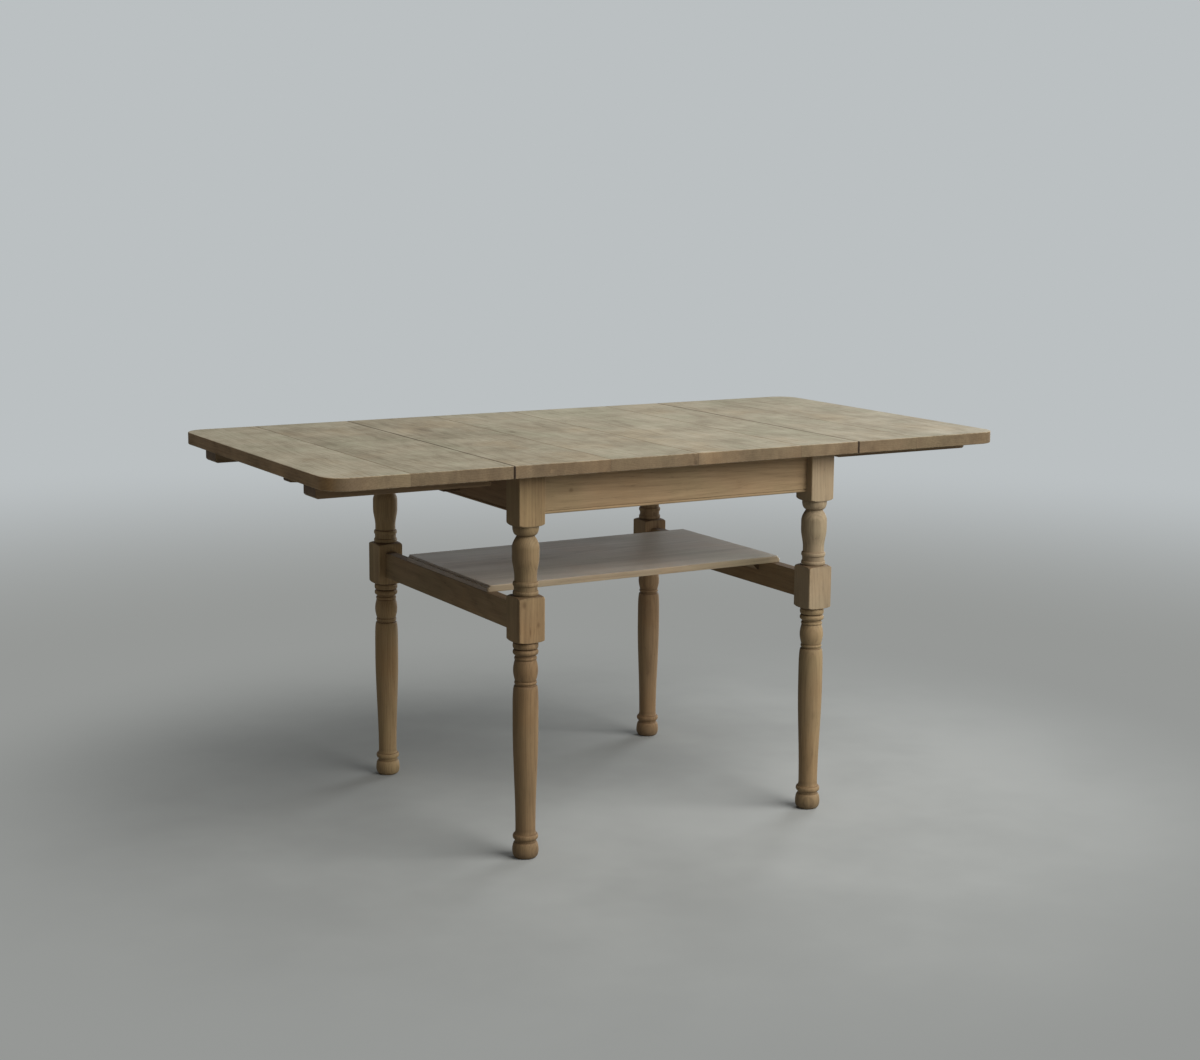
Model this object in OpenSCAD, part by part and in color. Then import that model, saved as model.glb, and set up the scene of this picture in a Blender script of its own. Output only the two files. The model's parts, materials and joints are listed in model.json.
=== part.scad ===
// Drop-leaf dining table with turned legs, a shelf on side rails and a hinged prop under each leaf.
// X is the length, Y the width (front is -Y) and Z is up. The origin is on the floor at the centre.

/* [Top and leaves] */
// Height of the table top above the floor
table_h = 730; // [680:1:800]
// Thickness of the centre top and of both leaves
top_t = 23; // [20:0.5:30]
// Length of the centre top between its two seams
centre_l = 736; // [660:1:860]
// Width of the centre top and of the leaves
top_w = 735; // [680:1:860]
// Length of each leaf from its seam to its outer end
leaf_l = 346; // [320:1:400]
// Gap at each seam
seam_gap = 1; // [0.6:0.1:2]
// Radius of the outer corners of the leaves
leaf_corner_r = 44; // [20:1:80]
// Widths of the first three boards of the centre top, from the left seam
centre_board_w = [192, 184, 228]; // [150:1:240]
// Width of the board next to the seam in the left leaf
left_board_w = 196; // [120:1:220]
// Width of the board next to the seam in the right leaf
right_board_w = 138; // [120:1:220]

/* [Legs] */
// Side of the square blocks on each leg
leg_w = 52; // [46:0.5:60]
// Overhang of the centre top past the legs at each seam
end_overhang = 28; // [27:1:45]
// Overhang of the top past the legs at the front and at the back
side_overhang = 37; // [20:1:60]
// Height of the square block under the top
top_block_h = 92; // [86:1:110]
// Height of the underside of the middle block above the floor
mid_block_z = 403; // [360:1:440]
// Height of the middle block
mid_block_h = 83; // [72:1:95]
// Height of the round shoulder where a block turns into the round leg
shoulder_h = 8; // [4:0.5:12]

/* [Turned profile] */
// Largest diameter of the upper vase
upper_vase_d = 49.6; // [44:0.2:51.6]
// Diameter of the narrow neck under the top block
neck_d = 32.6; // [30:0.2:38]
// Diameter of the waist under the upper vase
waist_d = 41; // [37:0.2:44]
// Diameter of the turned rings next to the middle block
ring_d = 46.8; // [44:0.2:50]
// Diameter at the bottom of the grooves between the turned rings
groove_d = 37.6; // [34:0.2:40]
// Diameter of the small bulb under the middle block
bulb_d = 45.4; // [41:0.2:48]
// Largest diameter of the long lower vase
lower_vase_d = 47; // [44:0.2:49.8]
// Diameter of the leg just above the ankle ring
ankle_d = 36.8; // [32:0.2:42]
// Largest diameter of the ball foot
foot_d = 48.4; // [44:0.2:49.8]
// Diameter of the flat under the foot
foot_base_d = 34; // [26:0.5:40]
// Diameter of the groove above the ball foot
foot_neck_d = 38.4; // [34:0.2:42]
// Diameter of the ankle ring
ankle_ring_d = 46.8; // [43:0.2:49.8]
// Diameter of the bell under the top block
bell_d = 48; // [40:0.2:50]
// Height of the foot's widest part above the floor
foot_wide_z = 13; // [8:0.5:16]
// Height of the ball foot
foot_h = 30; // [22:0.5:31]
// Height of the ankle ring's underside above the floor
ankle_ring_z = 34.5; // [31:0.5:36]
// Height of the ankle ring
ankle_ring_h = 11; // [9:0.5:14]
// Height above the floor where the long taper over the ankle starts
taper_z = 54; // [52:0.5:64]
// Height of the lower vase's widest part, which is straight
lower_vase_wide_h = 32; // [20:1:60]
// Height over which the lower vase closes in at its top
lower_vase_close_h = 36; // [26:1:46]
// Height of the groove between the lower vase and the bulb
vase_groove_h = 11; // [10:0.5:14]
// Height of the bulb
bulb_h = 36; // [28:0.5:42]
// Height of the rings between the bulb and the middle block
lower_rings_h = 35; // [34:0.5:40]
// Height of each of the two larger rings there
lower_ring_h = 11; // [8:0.5:11]
// Height of the small rings above and below the bulb
small_ring_h = 6; // [4:0.5:6]
// How far the small rings stand out of their grooves
small_ring_out = 1.8; // [1:0.1:2.6]
// Height of the rings above the middle block
upper_rings_h = 27; // [22:0.5:28]
// Height of each of those rings
upper_ring_h = 8.5; // [6:0.5:9]
// Depth of the steps at the rings' edges
ring_relief = 2; // [1:0.1:3]
// Height of the flats between turned parts
ring_step = 1; // [0.5:0.1:1]
// Step from the lower vase into the groove over it
vase_lip = 2; // [0.8:0.1:2.6]
// Height of the straight waist above the upper rings
waist_h = 8; // [2:0.5:12]
// Height of the upper vase's widest part, which is straight
upper_vase_wide_h = 16; // [4:1:24]
// Height over which the upper vase closes in to the neck
upper_vase_close_h = 21; // [16:1:23]
// Distance from the neck up to the top block
neck_h = 21; // [18:1:24]
// Height of the curve of the bell
bell_h = 15; // [6:0.5:16]

/* [Aprons and rails] */
// Height of the aprons under the top
apron_h = 76; // [72:1:82]
// Thickness of the aprons
apron_t = 20; // [17:0.5:22]
// Distance from the legs' faces back to the aprons
apron_setback = 17; // [10:0.5:18]
// Height of the bead along the lower edge of the aprons
bead_h = 5; // [3:0.5:6]
// Width and depth of the groove above that bead
bead_groove = 1.2; // [0.6:0.1:2]
// Height of the side rails
rail_h = 51; // [46:1:60]
// Thickness of the side rails
rail_t = 22; // [18:0.5:26]
// Distance from the legs' face back to the side rails
rail_setback = 14; // [10:0.5:18]
// Height of the side rails above the underside of the middle block
rail_lift = 15; // [8:1:18]
// Length of the rails' tenons
tenon_l = 20; // [14:0.5:22]
// Wood left in a leg between the ends of two aprons' tenons
tenon_gap = 2; // [1:0.5:4]
// Thickness of the tenons
tenon_t = 8; // [6:0.5:10]
// Part of a rail's or an apron's height left above and below its tenon
tenon_shoulder = 8; // [6:0.5:12]
// Clearance round a tenon in its mortise
joint_clearance = 0.15; // [0.1:0.05:0.3]

/* [Shelf] */
// Thickness of the shelf
shelf_t = 13; // [10:0.5:18]
// Depth of the shelf from front to back
shelf_w = 356; // [320:1:460]
// Distance from the outer faces of the side rails in to the ends of the shelf
shelf_inset = 0; // [0:0.5:14]
// Radius of the shelf's corners
shelf_corner_r = 5; // [2:0.5:30]
// Length of the glue blocks under the shelf
shelf_block_l = 60; // [40:1:90]
// Side of the glue blocks under the shelf
shelf_block_w = 20; // [14:1:26]
// Width of the flats at the edges of the glue blocks
shelf_block_edge = 4; // [2:0.5:6]
// Distance of each glue block's middle from the middle of the rail
shelf_block_y = 105; // [70:1:120]

/* [Buttons that hold the top] */
// Width of a button along its apron
button_w = 28; // [22:1:34]
// Length of a button from its apron inwards
button_l = 34; // [28:1:40]
// Height of a button
button_h = 19; // [17:0.5:22]
// Length of a button's tongue in the apron's groove
button_tongue_l = 7; // [5:0.5:8]
// Thickness of a button's tongue
button_tongue_t = 8; // [6:0.5:9]
// Distance of a button's screw from its apron
button_screw_in = 18.5; // [12:0.5:20]
// Distance of the buttons from the middle of an apron
button_y = 150; // [100:1:190]
// Clearance above and below a button's tongue in its groove
button_clearance = 0.25; // [0.1:0.05:0.5]

/* [Battens under the leaves] */
// Width of the battens
batten_w = 54; // [44:1:60]
// Thickness of the battens
batten_t = 19; // [14:0.5:22]
// Distance from the seam out to the inner ends of the battens
batten_start = 13; // [8:1:24]
// Distance from the left leaf's outer end back to its battens' outer ends
batten_end_setback = 3; // [1:0.5:12]
// Distance from the right leaf's outer end back to its battens' outer ends
right_batten_end_setback = 19; // [1:0.5:30]
// Chamfer at the lower end corners of the battens
batten_chamfer = 3.5; // [2:0.5:8]
// Distance from the left leaf's front edge back to the middle of its front batten
batten_front_inset = 88.5; // [67:0.5:95]
// Distance from the right leaf's front edge back to the middle of its front batten
right_batten_front_inset = 112; // [67:0.5:125]
// Distance from each leaf's back edge in to the middle of its back batten
batten_back_inset = 155.5; // [90:0.5:177]
// Distance from a batten's ends in to its first and last screws
batten_screw_inset = 30; // [20:1:50]

/* [Props under the leaves] */
// Width of the props
prop_w = 28; // [22:0.5:32]
// Depth of the props
prop_d = 24; // [20:0.5:25]
// Distance of each prop from the middle of the table
prop_y = 22.5; // [0:0.5:40]
// Distance from the leaf's outer end back to the tip of the prop
prop_tip_setback = 62; // [50:1:90]
// Length of the flat on the tip that bears on the catch
prop_pad_l = 30; // [20:1:36]
// Distance from the end apron's face out to the prop's pivot
pivot_out = 22; // [21.5:0.5:23]
// Distance from the underside of the top down to the prop's pivot
pivot_drop = 42; // [40:0.5:46]
// Diameter of the prop's pin
prop_pin_d = 8; // [6:0.5:10]
// Height of the block that holds the prop
prop_block_h = 46; // [42:1:50]
// Distance from that block's ends in to its screws
prop_screw_inset = 9; // [7:0.5:12]
// Thickness of each ear of that block
prop_ear_t = 22; // [18:0.5:26]
// Depth of wood in front of the pivot's centre
prop_ear_front = 12; // [9:0.5:14]
// Wood left between the end apron and the prop's slot
prop_slot_base = 9; // [7:0.5:9.4]
// Thickness of the catch at the bottom of its notch
catch_floor = 8; // [6:0.5:9]
// Depth of the notch in the catch
catch_notch = 6; // [4:0.5:8]
// Thickness of the cheeks of the catch
catch_cheek = 9; // [6:0.5:12]
// Length of the catch past the flat on the prop, at each end
catch_margin = 5; // [4:0.5:8]
// Distance from the catch's ends in to its screws
catch_screw_inset = 9; // [7:0.5:12]
// Radius of the prop's lower tip corner
tip_round = 3.5; // [2:0.5:10]
// Chamfer at the prop's upper tip corner
tip_ease = 2; // [1:0.5:4]
// Gap between the prop and the parts that it moves in or bears on
prop_gap = 0.3; // [0.2:0.05:0.5]

/* [Hinges] */
// Length of a hinge along the seam
hinge_w = 50; // [44:1:60]
// Length of each hinge plate out from the seam
hinge_l = 32; // [30:1:36]
// Thickness of the hinge plates
hinge_t = 2.2; // [1.6:0.1:3]
// Outer diameter of the hinge knuckles
knuckle_d = 7; // [6:0.2:8]
// Diameter of the hinge pins
hinge_pin_d = 3; // [2:0.1:3.6]
// Width of the middle knuckle, which turns with the leaf
mid_knuckle_w = 19; // [14:1:24]
// Gap between neighbouring knuckles
knuckle_gap = 0.3; // [0.2:0.1:0.5]
// Distance of the front hinges from the middle of the table
hinge_front_y = 165; // [140:1:200]
// Distance of the back hinges from the middle of the table
hinge_back_y = 110; // [95:1:145]
// Room round the knuckles in the boards
knuckle_room = 0.5; // [0.3:0.1:0.8]
// Room round the hinge plates in their recesses
plate_room = 0.15; // [0.1:0.05:0.3]
// Radial clearance of a pin in its bores
pin_clearance = 0.05; // [0.02:0.01:0.08]

/* [Screws] */
// Shank diameter of the wood screws
screw_d = 4; // [3:0.1:4.4]
// Head diameter of the wood screws
screw_head_d = 8; // [7:0.1:8.6]
// Depth that the screws go into the part behind
screw_bite = 13; // [9:0.5:15]
// Shank diameter of the hinge screws
hinge_screw_d = 3.4; // [2.6:0.1:3.8]
// Head diameter of the hinge screws
hinge_screw_head_d = 6.6; // [5.6:0.1:7.4]
// Clearance round the screws
screw_clearance = 0.1; // [0.05:0.05:0.2]
// Number of screws in each batten
batten_screws = 4; // [2:1:5]
// Distance of a batten's screws from its middle line, on alternate sides
batten_screw_y = 11; // [0:0.5:14]
// Height of the straight rim of a screw head
screw_rim = 0.6; // [0.4:0.1:0.8]
// Width of the slot in a screw head
screw_slot_w = 0.8; // [0.6:0.1:1]
// Depth of the slot in a screw head
screw_slot_depth = 1; // [0.6:0.1:1.2]

/* [Hidden] */
$fn = 64;

// A side is -1 for left and 1 for right. A face is -1 for front and 1 for back.
LEFT = -1;
RIGHT = 1;
FRONT = -1;
BACK = 1;
cut = 1;                                    // how far a cutter runs past a face

top_wood = [0.61, 0.55, 0.45];
leg_wood = [0.55, 0.44, 0.31];
shelf_wood = [0.42, 0.37, 0.33];
hidden_wood = [0.45, 0.36, 0.25];
iron = [0.22, 0.21, 0.20];

under_z = table_h - top_t;                  // underside of the top and top of the legs
seam_x = centre_l / 2;
hinge_x = seam_x + seam_gap / 2;            // hinge axis, in the plane of the underside
leaf_x = seam_x + seam_gap;
leaf_end = leaf_x + leaf_l;
leg_x = seam_x - end_overhang - leg_w / 2;
leg_y = top_w / 2 - side_overhang - leg_w / 2;
leg_face_x = leg_x + leg_w / 2;
leg_face_y = leg_y + leg_w / 2;
leg_inner_x = leg_x - leg_w / 2;
leg_inner_y = leg_y - leg_w / 2;
top_block_z = under_z - top_block_h;
mid_top_z = mid_block_z + mid_block_h;

apron_z = under_z - apron_h;
long_apron_y = leg_face_y - apron_setback;          // outer face
end_apron_x = leg_face_x - apron_setback;           // outer face
apron_tenon_l = leg_w - apron_setback - (apron_t + tenon_t) / 2 - tenon_gap;
rail_x = leg_face_x - rail_setback;                 // outer face
rail_z = mid_block_z + rail_lift;
shelf_z = rail_z + rail_h;                          // underside
shelf_end = rail_x - shelf_inset;

groove_t = button_tongue_t + 2 * button_clearance;  // groove for the buttons' tongues
groove_z = under_z - button_h - button_clearance;
groove_depth = button_tongue_l + 4 * button_clearance;

pivot_x = end_apron_x + pivot_out;
pivot_z = under_z - pivot_drop;
tip_x = leaf_end - prop_tip_setback;
pad_z = under_z - catch_floor - prop_gap;   // top of the prop's flat
pad_x = tip_x - prop_pad_l;
// The prop's top edge runs from above the pivot to the inner corner of the flat
prop_run = norm([pad_x - pivot_x, pad_z - pivot_z]);
prop_angle = atan2(pad_z - pivot_z, pad_x - pivot_x) - asin(prop_d / 2 / prop_run);
slot_w = prop_w + 2 * prop_gap;
block_w = slot_w + 2 * prop_ear_t;
block_x = pivot_x + prop_ear_front;         // front of the block that holds the prop
block_z = pivot_z - prop_block_h / 2;
block_screw_z = prop_block_h / 2 - prop_screw_inset;    // screws above and below the pivot
catch_x0 = pad_x - catch_margin;
catch_x1 = tip_x + catch_margin;
catch_h = catch_floor + catch_notch;
catch_w = slot_w + 2 * catch_cheek;

knuckle_r = knuckle_d / 2;
relief_r = knuckle_r + knuckle_room;        // hollow in the boards round the knuckles
side_knuckle_w = (hinge_w - mid_knuckle_w) / 2 - knuckle_gap;
// Places of a plate's screws, as shares of its length past the knuckle and of its width
hinge_screw_at = [[0.32, -0.3], [0.72, 0], [0.32, 0.3]];
board_ends = [-seam_x, -seam_x + centre_board_w[0], -seam_x + centre_board_w[0] + centre_board_w[1],
    -seam_x + centre_board_w[0] + centre_board_w[1] + centre_board_w[2], seam_x];

// Moves what is drawn on the right to the chosen side
module to_side(side) {
    mirror([side < 0 ? 1 : 0, 0, 0]) children();
}

// A box from its lowest corner and its highest corner
module box(low, high) {
    translate(low) cube(high - low);
}

// Outlines of turned work, as [radius, height] from the bottom up
// Half an ellipse between two heights
function bead(z0, z1, r_in, r_out) =
    [for (i = [0:8]) let (a = 22.5 * i)
        [r_in + (r_out - r_in) * sin(a), (z0 + z1) / 2 - (z1 - z0) / 2 * cos(a)]];
// A quarter ellipse that leaves a narrow radius and ends upright
function swell(z0, r0, z1, r1, n = 6) =
    [for (i = [0:n]) let (a = 90 * i / n) [r0 + (r1 - r0) * sin(a), z1 - (z1 - z0) * cos(a)]];
// A quarter ellipse that starts upright and closes in
function close_in(z0, r0, z1, r1, n = 6) =
    [for (i = [0:n]) let (a = 90 * i / n) [r1 + (r0 - r1) * cos(a), z0 + (z1 - z0) * sin(a)]];
// A quarter wave that starts upright and draws in to a narrow radius
function draw_in(z0, r0, z1, r1, n = 8) =
    [for (i = [0:n]) let (t = i / n) [r1 + (r0 - r1) * cos(90 * t), z0 + (z1 - z0) * t]];
// A ball, widest in the middle, with narrower ends
function ball(z0, z1, r_end, r_mid, n = 12) =
    [for (i = [0:n]) let (t = i / n) [r_end + (r_mid - r_end) * sin(180 * t), z0 + (z1 - z0) * t]];
// A long S curve, upright at both ends
function ease(z0, r0, z1, r1, n = 10) =
    [for (i = [0:n]) let (t = i / n) [r0 + (r1 - r0) * (1 - cos(180 * t)) / 2, z0 + (z1 - z0) * t]];

block_r = leg_w * 0.75;                     // clear of the corners of a square block
block_edge_r = (leg_w - ring_step) / 2;
bulb_top = mid_block_z - lower_rings_h;
bulb_z = bulb_top - bulb_h;
vase_top = bulb_z - vase_groove_h;
vase_wide_top = vase_top - lower_vase_close_h;
vase_wide = vase_wide_top - lower_vase_wide_h;
neck_z = top_block_z - neck_h;
upper_wide = neck_z - upper_vase_close_h;
upper_rings_top = mid_top_z + upper_rings_h;
bell_z = neck_z + ring_step;
groove_r = groove_d / 2;
ring_r = ring_d / 2;
first_ring_z = mid_block_z - 3 * ring_step - 2 * lower_ring_h;
second_ring_z = mid_block_z - 2 * ring_step - lower_ring_h;

foot_outline = concat(
    swell(0, foot_base_d / 2, foot_wide_z, foot_d / 2),
    close_in(foot_wide_z, foot_d / 2, foot_h, foot_neck_d / 2),
    bead(ankle_ring_z, ankle_ring_z + ankle_ring_h, foot_neck_d / 2 + ring_step / 2, ankle_ring_d / 2),
    [[ankle_d / 2, taper_z - 3 * ring_step]]);
lower_vase_outline = concat(
    ease(taper_z, ankle_d / 2, vase_wide, lower_vase_d / 2, 12),
    close_in(vase_wide_top, lower_vase_d / 2, vase_top, groove_r + vase_lip, 8),
    [[groove_r, vase_top + ring_step]]);
bulb_outline = concat(
    bead(bulb_z - 2 * ring_step - small_ring_h, bulb_z - 2 * ring_step, groove_r, groove_r + small_ring_out),
    ball(bulb_z, bulb_top, groove_r + ring_step, bulb_d / 2),
    bead(bulb_top + ring_step, bulb_top + ring_step + small_ring_h, groove_r, groove_r + small_ring_out),
    bead(first_ring_z, first_ring_z + lower_ring_h, groove_r, ring_r),
    bead(second_ring_z, second_ring_z + lower_ring_h, ring_r - ring_relief, ring_r));
mid_block_outline = concat(
    swell(mid_block_z, block_edge_r, mid_block_z + shoulder_h, block_r),
    close_in(mid_top_z - shoulder_h, block_r, mid_top_z, block_edge_r));
upper_rings_outline = concat(
    bead(mid_top_z + ring_step, mid_top_z + ring_step + upper_ring_h, ring_r - ring_relief, ring_r),
    bead(upper_rings_top - ring_step - upper_ring_h, upper_rings_top - ring_step,
        ring_r - ring_relief, ring_r));
upper_vase_outline = concat(
    [[waist_d / 2, upper_rings_top]],
    ease(upper_rings_top + waist_h, waist_d / 2, upper_wide - upper_vase_wide_h, upper_vase_d / 2),
    draw_in(upper_wide, upper_vase_d / 2, neck_z, neck_d / 2));
bell_outline = concat(
    swell(bell_z, neck_d / 2, bell_z + bell_h, bell_d / 2),
    [[bell_d / 2, top_block_z - 3 * ring_step]],
    swell(top_block_z - 2 * ring_step, block_edge_r, top_block_z + shoulder_h, block_r));

module turned_leg() {
    intersection() {
        translate([-leg_w / 2, -leg_w / 2, 0]) cube([leg_w, leg_w, under_z]);
        rotate_extrude($fn = 96)
            polygon(concat([[0, 0]], foot_outline, lower_vase_outline, bulb_outline, mid_block_outline,
                upper_rings_outline, upper_vase_outline, bell_outline, [[block_r, under_z], [0, under_z]]));
    }
}

// The tenons of the three rails that meet in the right back leg, grown by a clearance
module tenons_at_leg(grow) {
    long_mid_y = long_apron_y - apron_t / 2;
    end_mid_x = end_apron_x - apron_t / 2;
    rail_mid_x = rail_x - rail_t / 2;
    reach = apron_tenon_l + grow;
    half = tenon_t / 2 + grow;
    low = apron_z + tenon_shoulder - grow;
    high = under_z - 2 * tenon_shoulder + grow;
    box([leg_inner_x - cut, long_mid_y - half, low], [leg_inner_x + reach, long_mid_y + half, high]);
    box([end_mid_x - half, leg_inner_y - cut, low], [end_mid_x + half, leg_inner_y + reach, high]);
    box([rail_mid_x - half, leg_inner_y - cut, rail_z + tenon_shoulder - grow],
        [rail_mid_x + half, leg_inner_y + tenon_l + grow, shelf_z - tenon_shoulder + grow]);
}

module leg(side, face) {
    color(leg_wood)
    difference() {
        translate([side * leg_x, face * leg_y, 0]) turned_leg();
        to_side(side) mirror([0, face < 0 ? 1 : 0, 0]) tenons_at_leg(joint_clearance);
    }
}

// The section of an apron, with its outer face at X = 0 and its lower edge at Y = 0
module apron_section() {
    r = bead_h / 2;
    difference() {
        translate([-apron_t, 0]) square([apron_t, apron_h]);
        translate([-r, -cut]) square([r + cut, bead_h + cut]);
        translate([-bead_groove, bead_h]) square([bead_groove + cut, bead_groove]);
    }
    translate([-r, r]) circle(r);
}

// A groove along the inner face of an apron, for the buttons' tongues
module button_groove(half_l) {
    box([-half_l, -groove_depth, groove_z], [half_l, cut, groove_z + groove_t]);
}

// The front apron or the back one
module long_apron(face) {
    inner_y = long_apron_y - apron_t;
    mid_y = long_apron_y - apron_t / 2;
    reach = leg_inner_x + apron_tenon_l;
    color(leg_wood)
    mirror([0, face < 0 ? 1 : 0, 0])
    difference() {
        union() {
            translate([-leg_inner_x, long_apron_y, apron_z]) rotate([90, 0, 90])
                linear_extrude(2 * leg_inner_x) apron_section();
            box([-reach, mid_y - tenon_t / 2, apron_z + tenon_shoulder],
                [reach, mid_y + tenon_t / 2, under_z - 2 * tenon_shoulder]);
        }
        translate([0, inner_y, 0]) mirror([0, 1, 0]) button_groove(leg_inner_x);
    }
}

// The left apron or the right one
module end_apron(side) {
    inner_x = end_apron_x - apron_t;
    mid_x = end_apron_x - apron_t / 2;
    reach = leg_inner_y + apron_tenon_l;
    color(leg_wood)
    to_side(side)
    difference() {
        union() {
            translate([end_apron_x, leg_inner_y, apron_z]) rotate([90, 0, 0])
                linear_extrude(2 * leg_inner_y) apron_section();
            box([mid_x - tenon_t / 2, -reach, apron_z + tenon_shoulder],
                [mid_x + tenon_t / 2, reach, under_z - 2 * tenon_shoulder]);
        }
        translate([inner_x, 0, 0]) rotate([0, 0, -90]) mirror([0, 1, 0]) button_groove(leg_inner_y);
        prop_block_screws_at(side, screw_clearance);
    }
}

// A rail between the front leg and the back leg, which carries the shelf
module side_rail(side) {
    mid_x = rail_x - rail_t / 2;
    reach = leg_inner_y + tenon_l;
    color(leg_wood)
    to_side(side) {
        box([rail_x - rail_t, -leg_inner_y, rail_z], [rail_x, leg_inner_y, shelf_z]);
        box([mid_x - tenon_t / 2, -reach, rail_z + tenon_shoulder],
            [mid_x + tenon_t / 2, reach, shelf_z - tenon_shoulder]);
    }
}

// A rectangle with four round corners
module round_rect(low, high, r) {
    translate([low.x + r, low.y]) square([high.x - low.x - 2 * r, high.y - low.y]);
    translate([low.x, low.y + r]) square([high.x - low.x, high.y - low.y - 2 * r]);
    for (x = [low.x + r, high.x - r], y = [low.y + r, high.y - r]) translate([x, y]) circle(r);
}

module shelf() {
    color(shelf_wood)
    translate([0, 0, shelf_z])
    linear_extrude(shelf_t)
        round_rect([-shelf_end, -shelf_w / 2], [shelf_end, shelf_w / 2], shelf_corner_r);
}

// Four glue blocks in the corners between the rails and the shelf
module shelf_blocks() {
    color(hidden_wood)
    for (side = [LEFT, RIGHT], face = [FRONT, BACK])
        to_side(side)
        translate([rail_x - rail_t, face * shelf_block_y + shelf_block_l / 2, shelf_z])
        rotate([90, 0, 0])
        linear_extrude(shelf_block_l)
            polygon([[0, 0], [-shelf_block_w, 0], [-shelf_block_w, -shelf_block_edge],
                [-shelf_block_edge, -shelf_block_w], [0, -shelf_block_w]]);
}

// One board of the centre top
module centre_board(n) {
    color(top_wood)
    difference() {
        box([board_ends[n - 1], -top_w / 2, under_z], [board_ends[n], top_w / 2, table_h]);
        for (side = [LEFT, RIGHT]) to_side(side) {
            hinge_recess(side, -1);
            hinge_screws(side, -1, screw_clearance);
        }
        button_screws_at(screw_clearance);
    }
}

// Places for the eight buttons: the middle of each one's end at its apron, facing inwards
module at_buttons() {
    for (face = [FRONT, BACK], side = [LEFT, RIGHT])
        translate([side * button_y, face * (long_apron_y - apron_t), 0])
            rotate([0, 0, face < 0 ? 0 : 180]) children();
    for (side = [LEFT, RIGHT], face = [FRONT, BACK])
        translate([side * (end_apron_x - apron_t), face * button_y, 0])
            rotate([0, 0, side < 0 ? -90 : 90]) children();
}

module top_buttons() {
    color(hidden_wood)
    difference() {
        at_buttons() {
            box([-button_w / 2, 0, under_z - button_h], [button_w / 2, button_l, under_z]);
            box([-button_w / 2, -button_tongue_l, under_z - button_h],
                [button_w / 2, cut, under_z - button_h + button_tongue_t]);
        }
        button_screws_at(screw_clearance);
    }
}

// A countersunk screw with its head at the origin, driven towards +Z through t of wood
module screw(through, d, head_d, bite, grow) {
    head_h = (head_d - d) / 2;
    rim_z = grow > 0 ? -cut : 0;
    translate([0, 0, rim_z]) cylinder(d = head_d + 2 * grow, h = screw_rim - rim_z);
    translate([0, 0, screw_rim]) cylinder(d1 = head_d + 2 * grow, d2 = d + 2 * grow, h = head_h);
    cylinder(d = d + 2 * grow, h = through + bite + grow);
}

module slotted_screw(through, d, head_d, bite) {
    difference() {
        screw(through, d, head_d, bite, 0);
        box([-head_d, -screw_slot_w / 2, -cut], [head_d, screw_slot_w / 2, screw_slot_depth]);
    }
}

// One wood screw, or with a clearance the hole for it
module wood_screw(through, grow) {
    if (grow > 0) screw(through, screw_d, screw_head_d, screw_bite, grow);
    else slotted_screw(through, screw_d, screw_head_d, screw_bite);
}

module button_screws_at(grow) {
    at_buttons() translate([0, button_screw_in, under_z - button_h]) wood_screw(button_h, grow);
}

module button_screws() {
    color(iron) button_screws_at(0);
}

// The outline of a leaf on the right, with round outer corners
module leaf_outline() {
    square_end = leaf_end - leaf_corner_r;
    inner_w = top_w - 2 * leaf_corner_r;
    translate([leaf_x, -top_w / 2]) square([square_end - leaf_x, top_w]);
    translate([leaf_x, -inner_w / 2]) square([leaf_l, inner_w]);
    for (y = [-inner_w / 2, inner_w / 2]) translate([square_end, y]) circle(leaf_corner_r);
}

// The part of a leaf between two distances from the seam
module leaf_board(side, from, to) {
    color(top_wood)
    to_side(side)
    difference() {
        translate([0, 0, under_z])
        linear_extrude(top_t)
        intersection() {
            leaf_outline();
            translate([leaf_x + from, -top_w]) square([to - from, 2 * top_w]);
        }
        hinge_recess(side, 1);
        hinge_screws(side, 1, screw_clearance);
        batten_screws_at(side, screw_clearance);
        catch_screws_at(side, screw_clearance);
    }
}

batten_x0 = leaf_x + batten_start;
function batten_end(side) = leaf_end - (side < 0 ? batten_end_setback : right_batten_end_setback);
function front_batten_y(side) = (side < 0 ? batten_front_inset : right_batten_front_inset) - top_w / 2;

module at_battens(side, face) {
    translate([0, face < 0 ? front_batten_y(side) : top_w / 2 - batten_back_inset, 0]) children();
}

module batten(side, face) {
    low = under_z - batten_t;
    c = batten_chamfer;
    end = batten_end(side);
    color(top_wood)
    to_side(side)
    difference() {
        at_battens(side, face)
            translate([0, batten_w / 2, 0])
            rotate([90, 0, 0])
            linear_extrude(batten_w)
            polygon([[batten_x0, under_z], [batten_x0, low + c], [batten_x0 + c, low],
                [end - c, low], [end, low + c], [end, under_z]]);
        batten_screws_at(side, screw_clearance);
    }
}

module batten_screws_at(side, grow) {
    step = (batten_end(side) - batten_x0 - 2 * batten_screw_inset) / (batten_screws - 1);
    for (face = [FRONT, BACK], i = [0:batten_screws - 1])
        at_battens(side, face)
        translate([batten_x0 + batten_screw_inset + i * step,
            (i % 2 == 0 ? 1 : -1) * batten_screw_y, under_z - batten_t])
            wood_screw(batten_t, grow);
}

module batten_screws_on(side) {
    color(iron) to_side(side) batten_screws_at(side, 0);
}

// The notched block under the leaf that the prop's tip bears on
module catch_block(side) {
    y = side * prop_y;
    color(hidden_wood)
    to_side(side)
    difference() {
        box([catch_x0, y - catch_w / 2, under_z - catch_h], [catch_x1, y + catch_w / 2, under_z]);
        box([catch_x0 - cut, y - slot_w / 2, under_z - catch_h - cut],
            [catch_x1 + cut, y + slot_w / 2, under_z - catch_floor]);
        catch_screws_at(side, screw_clearance);
    }
}

module catch_screws_at(side, grow) {
    for (x = [catch_x0 + catch_screw_inset, catch_x1 - catch_screw_inset])
        translate([x, side * prop_y, under_z - catch_floor]) wood_screw(catch_floor, grow);
}

module catch_screws_on(side) {
    color(iron) to_side(side) catch_screws_at(side, 0);
}

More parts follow.
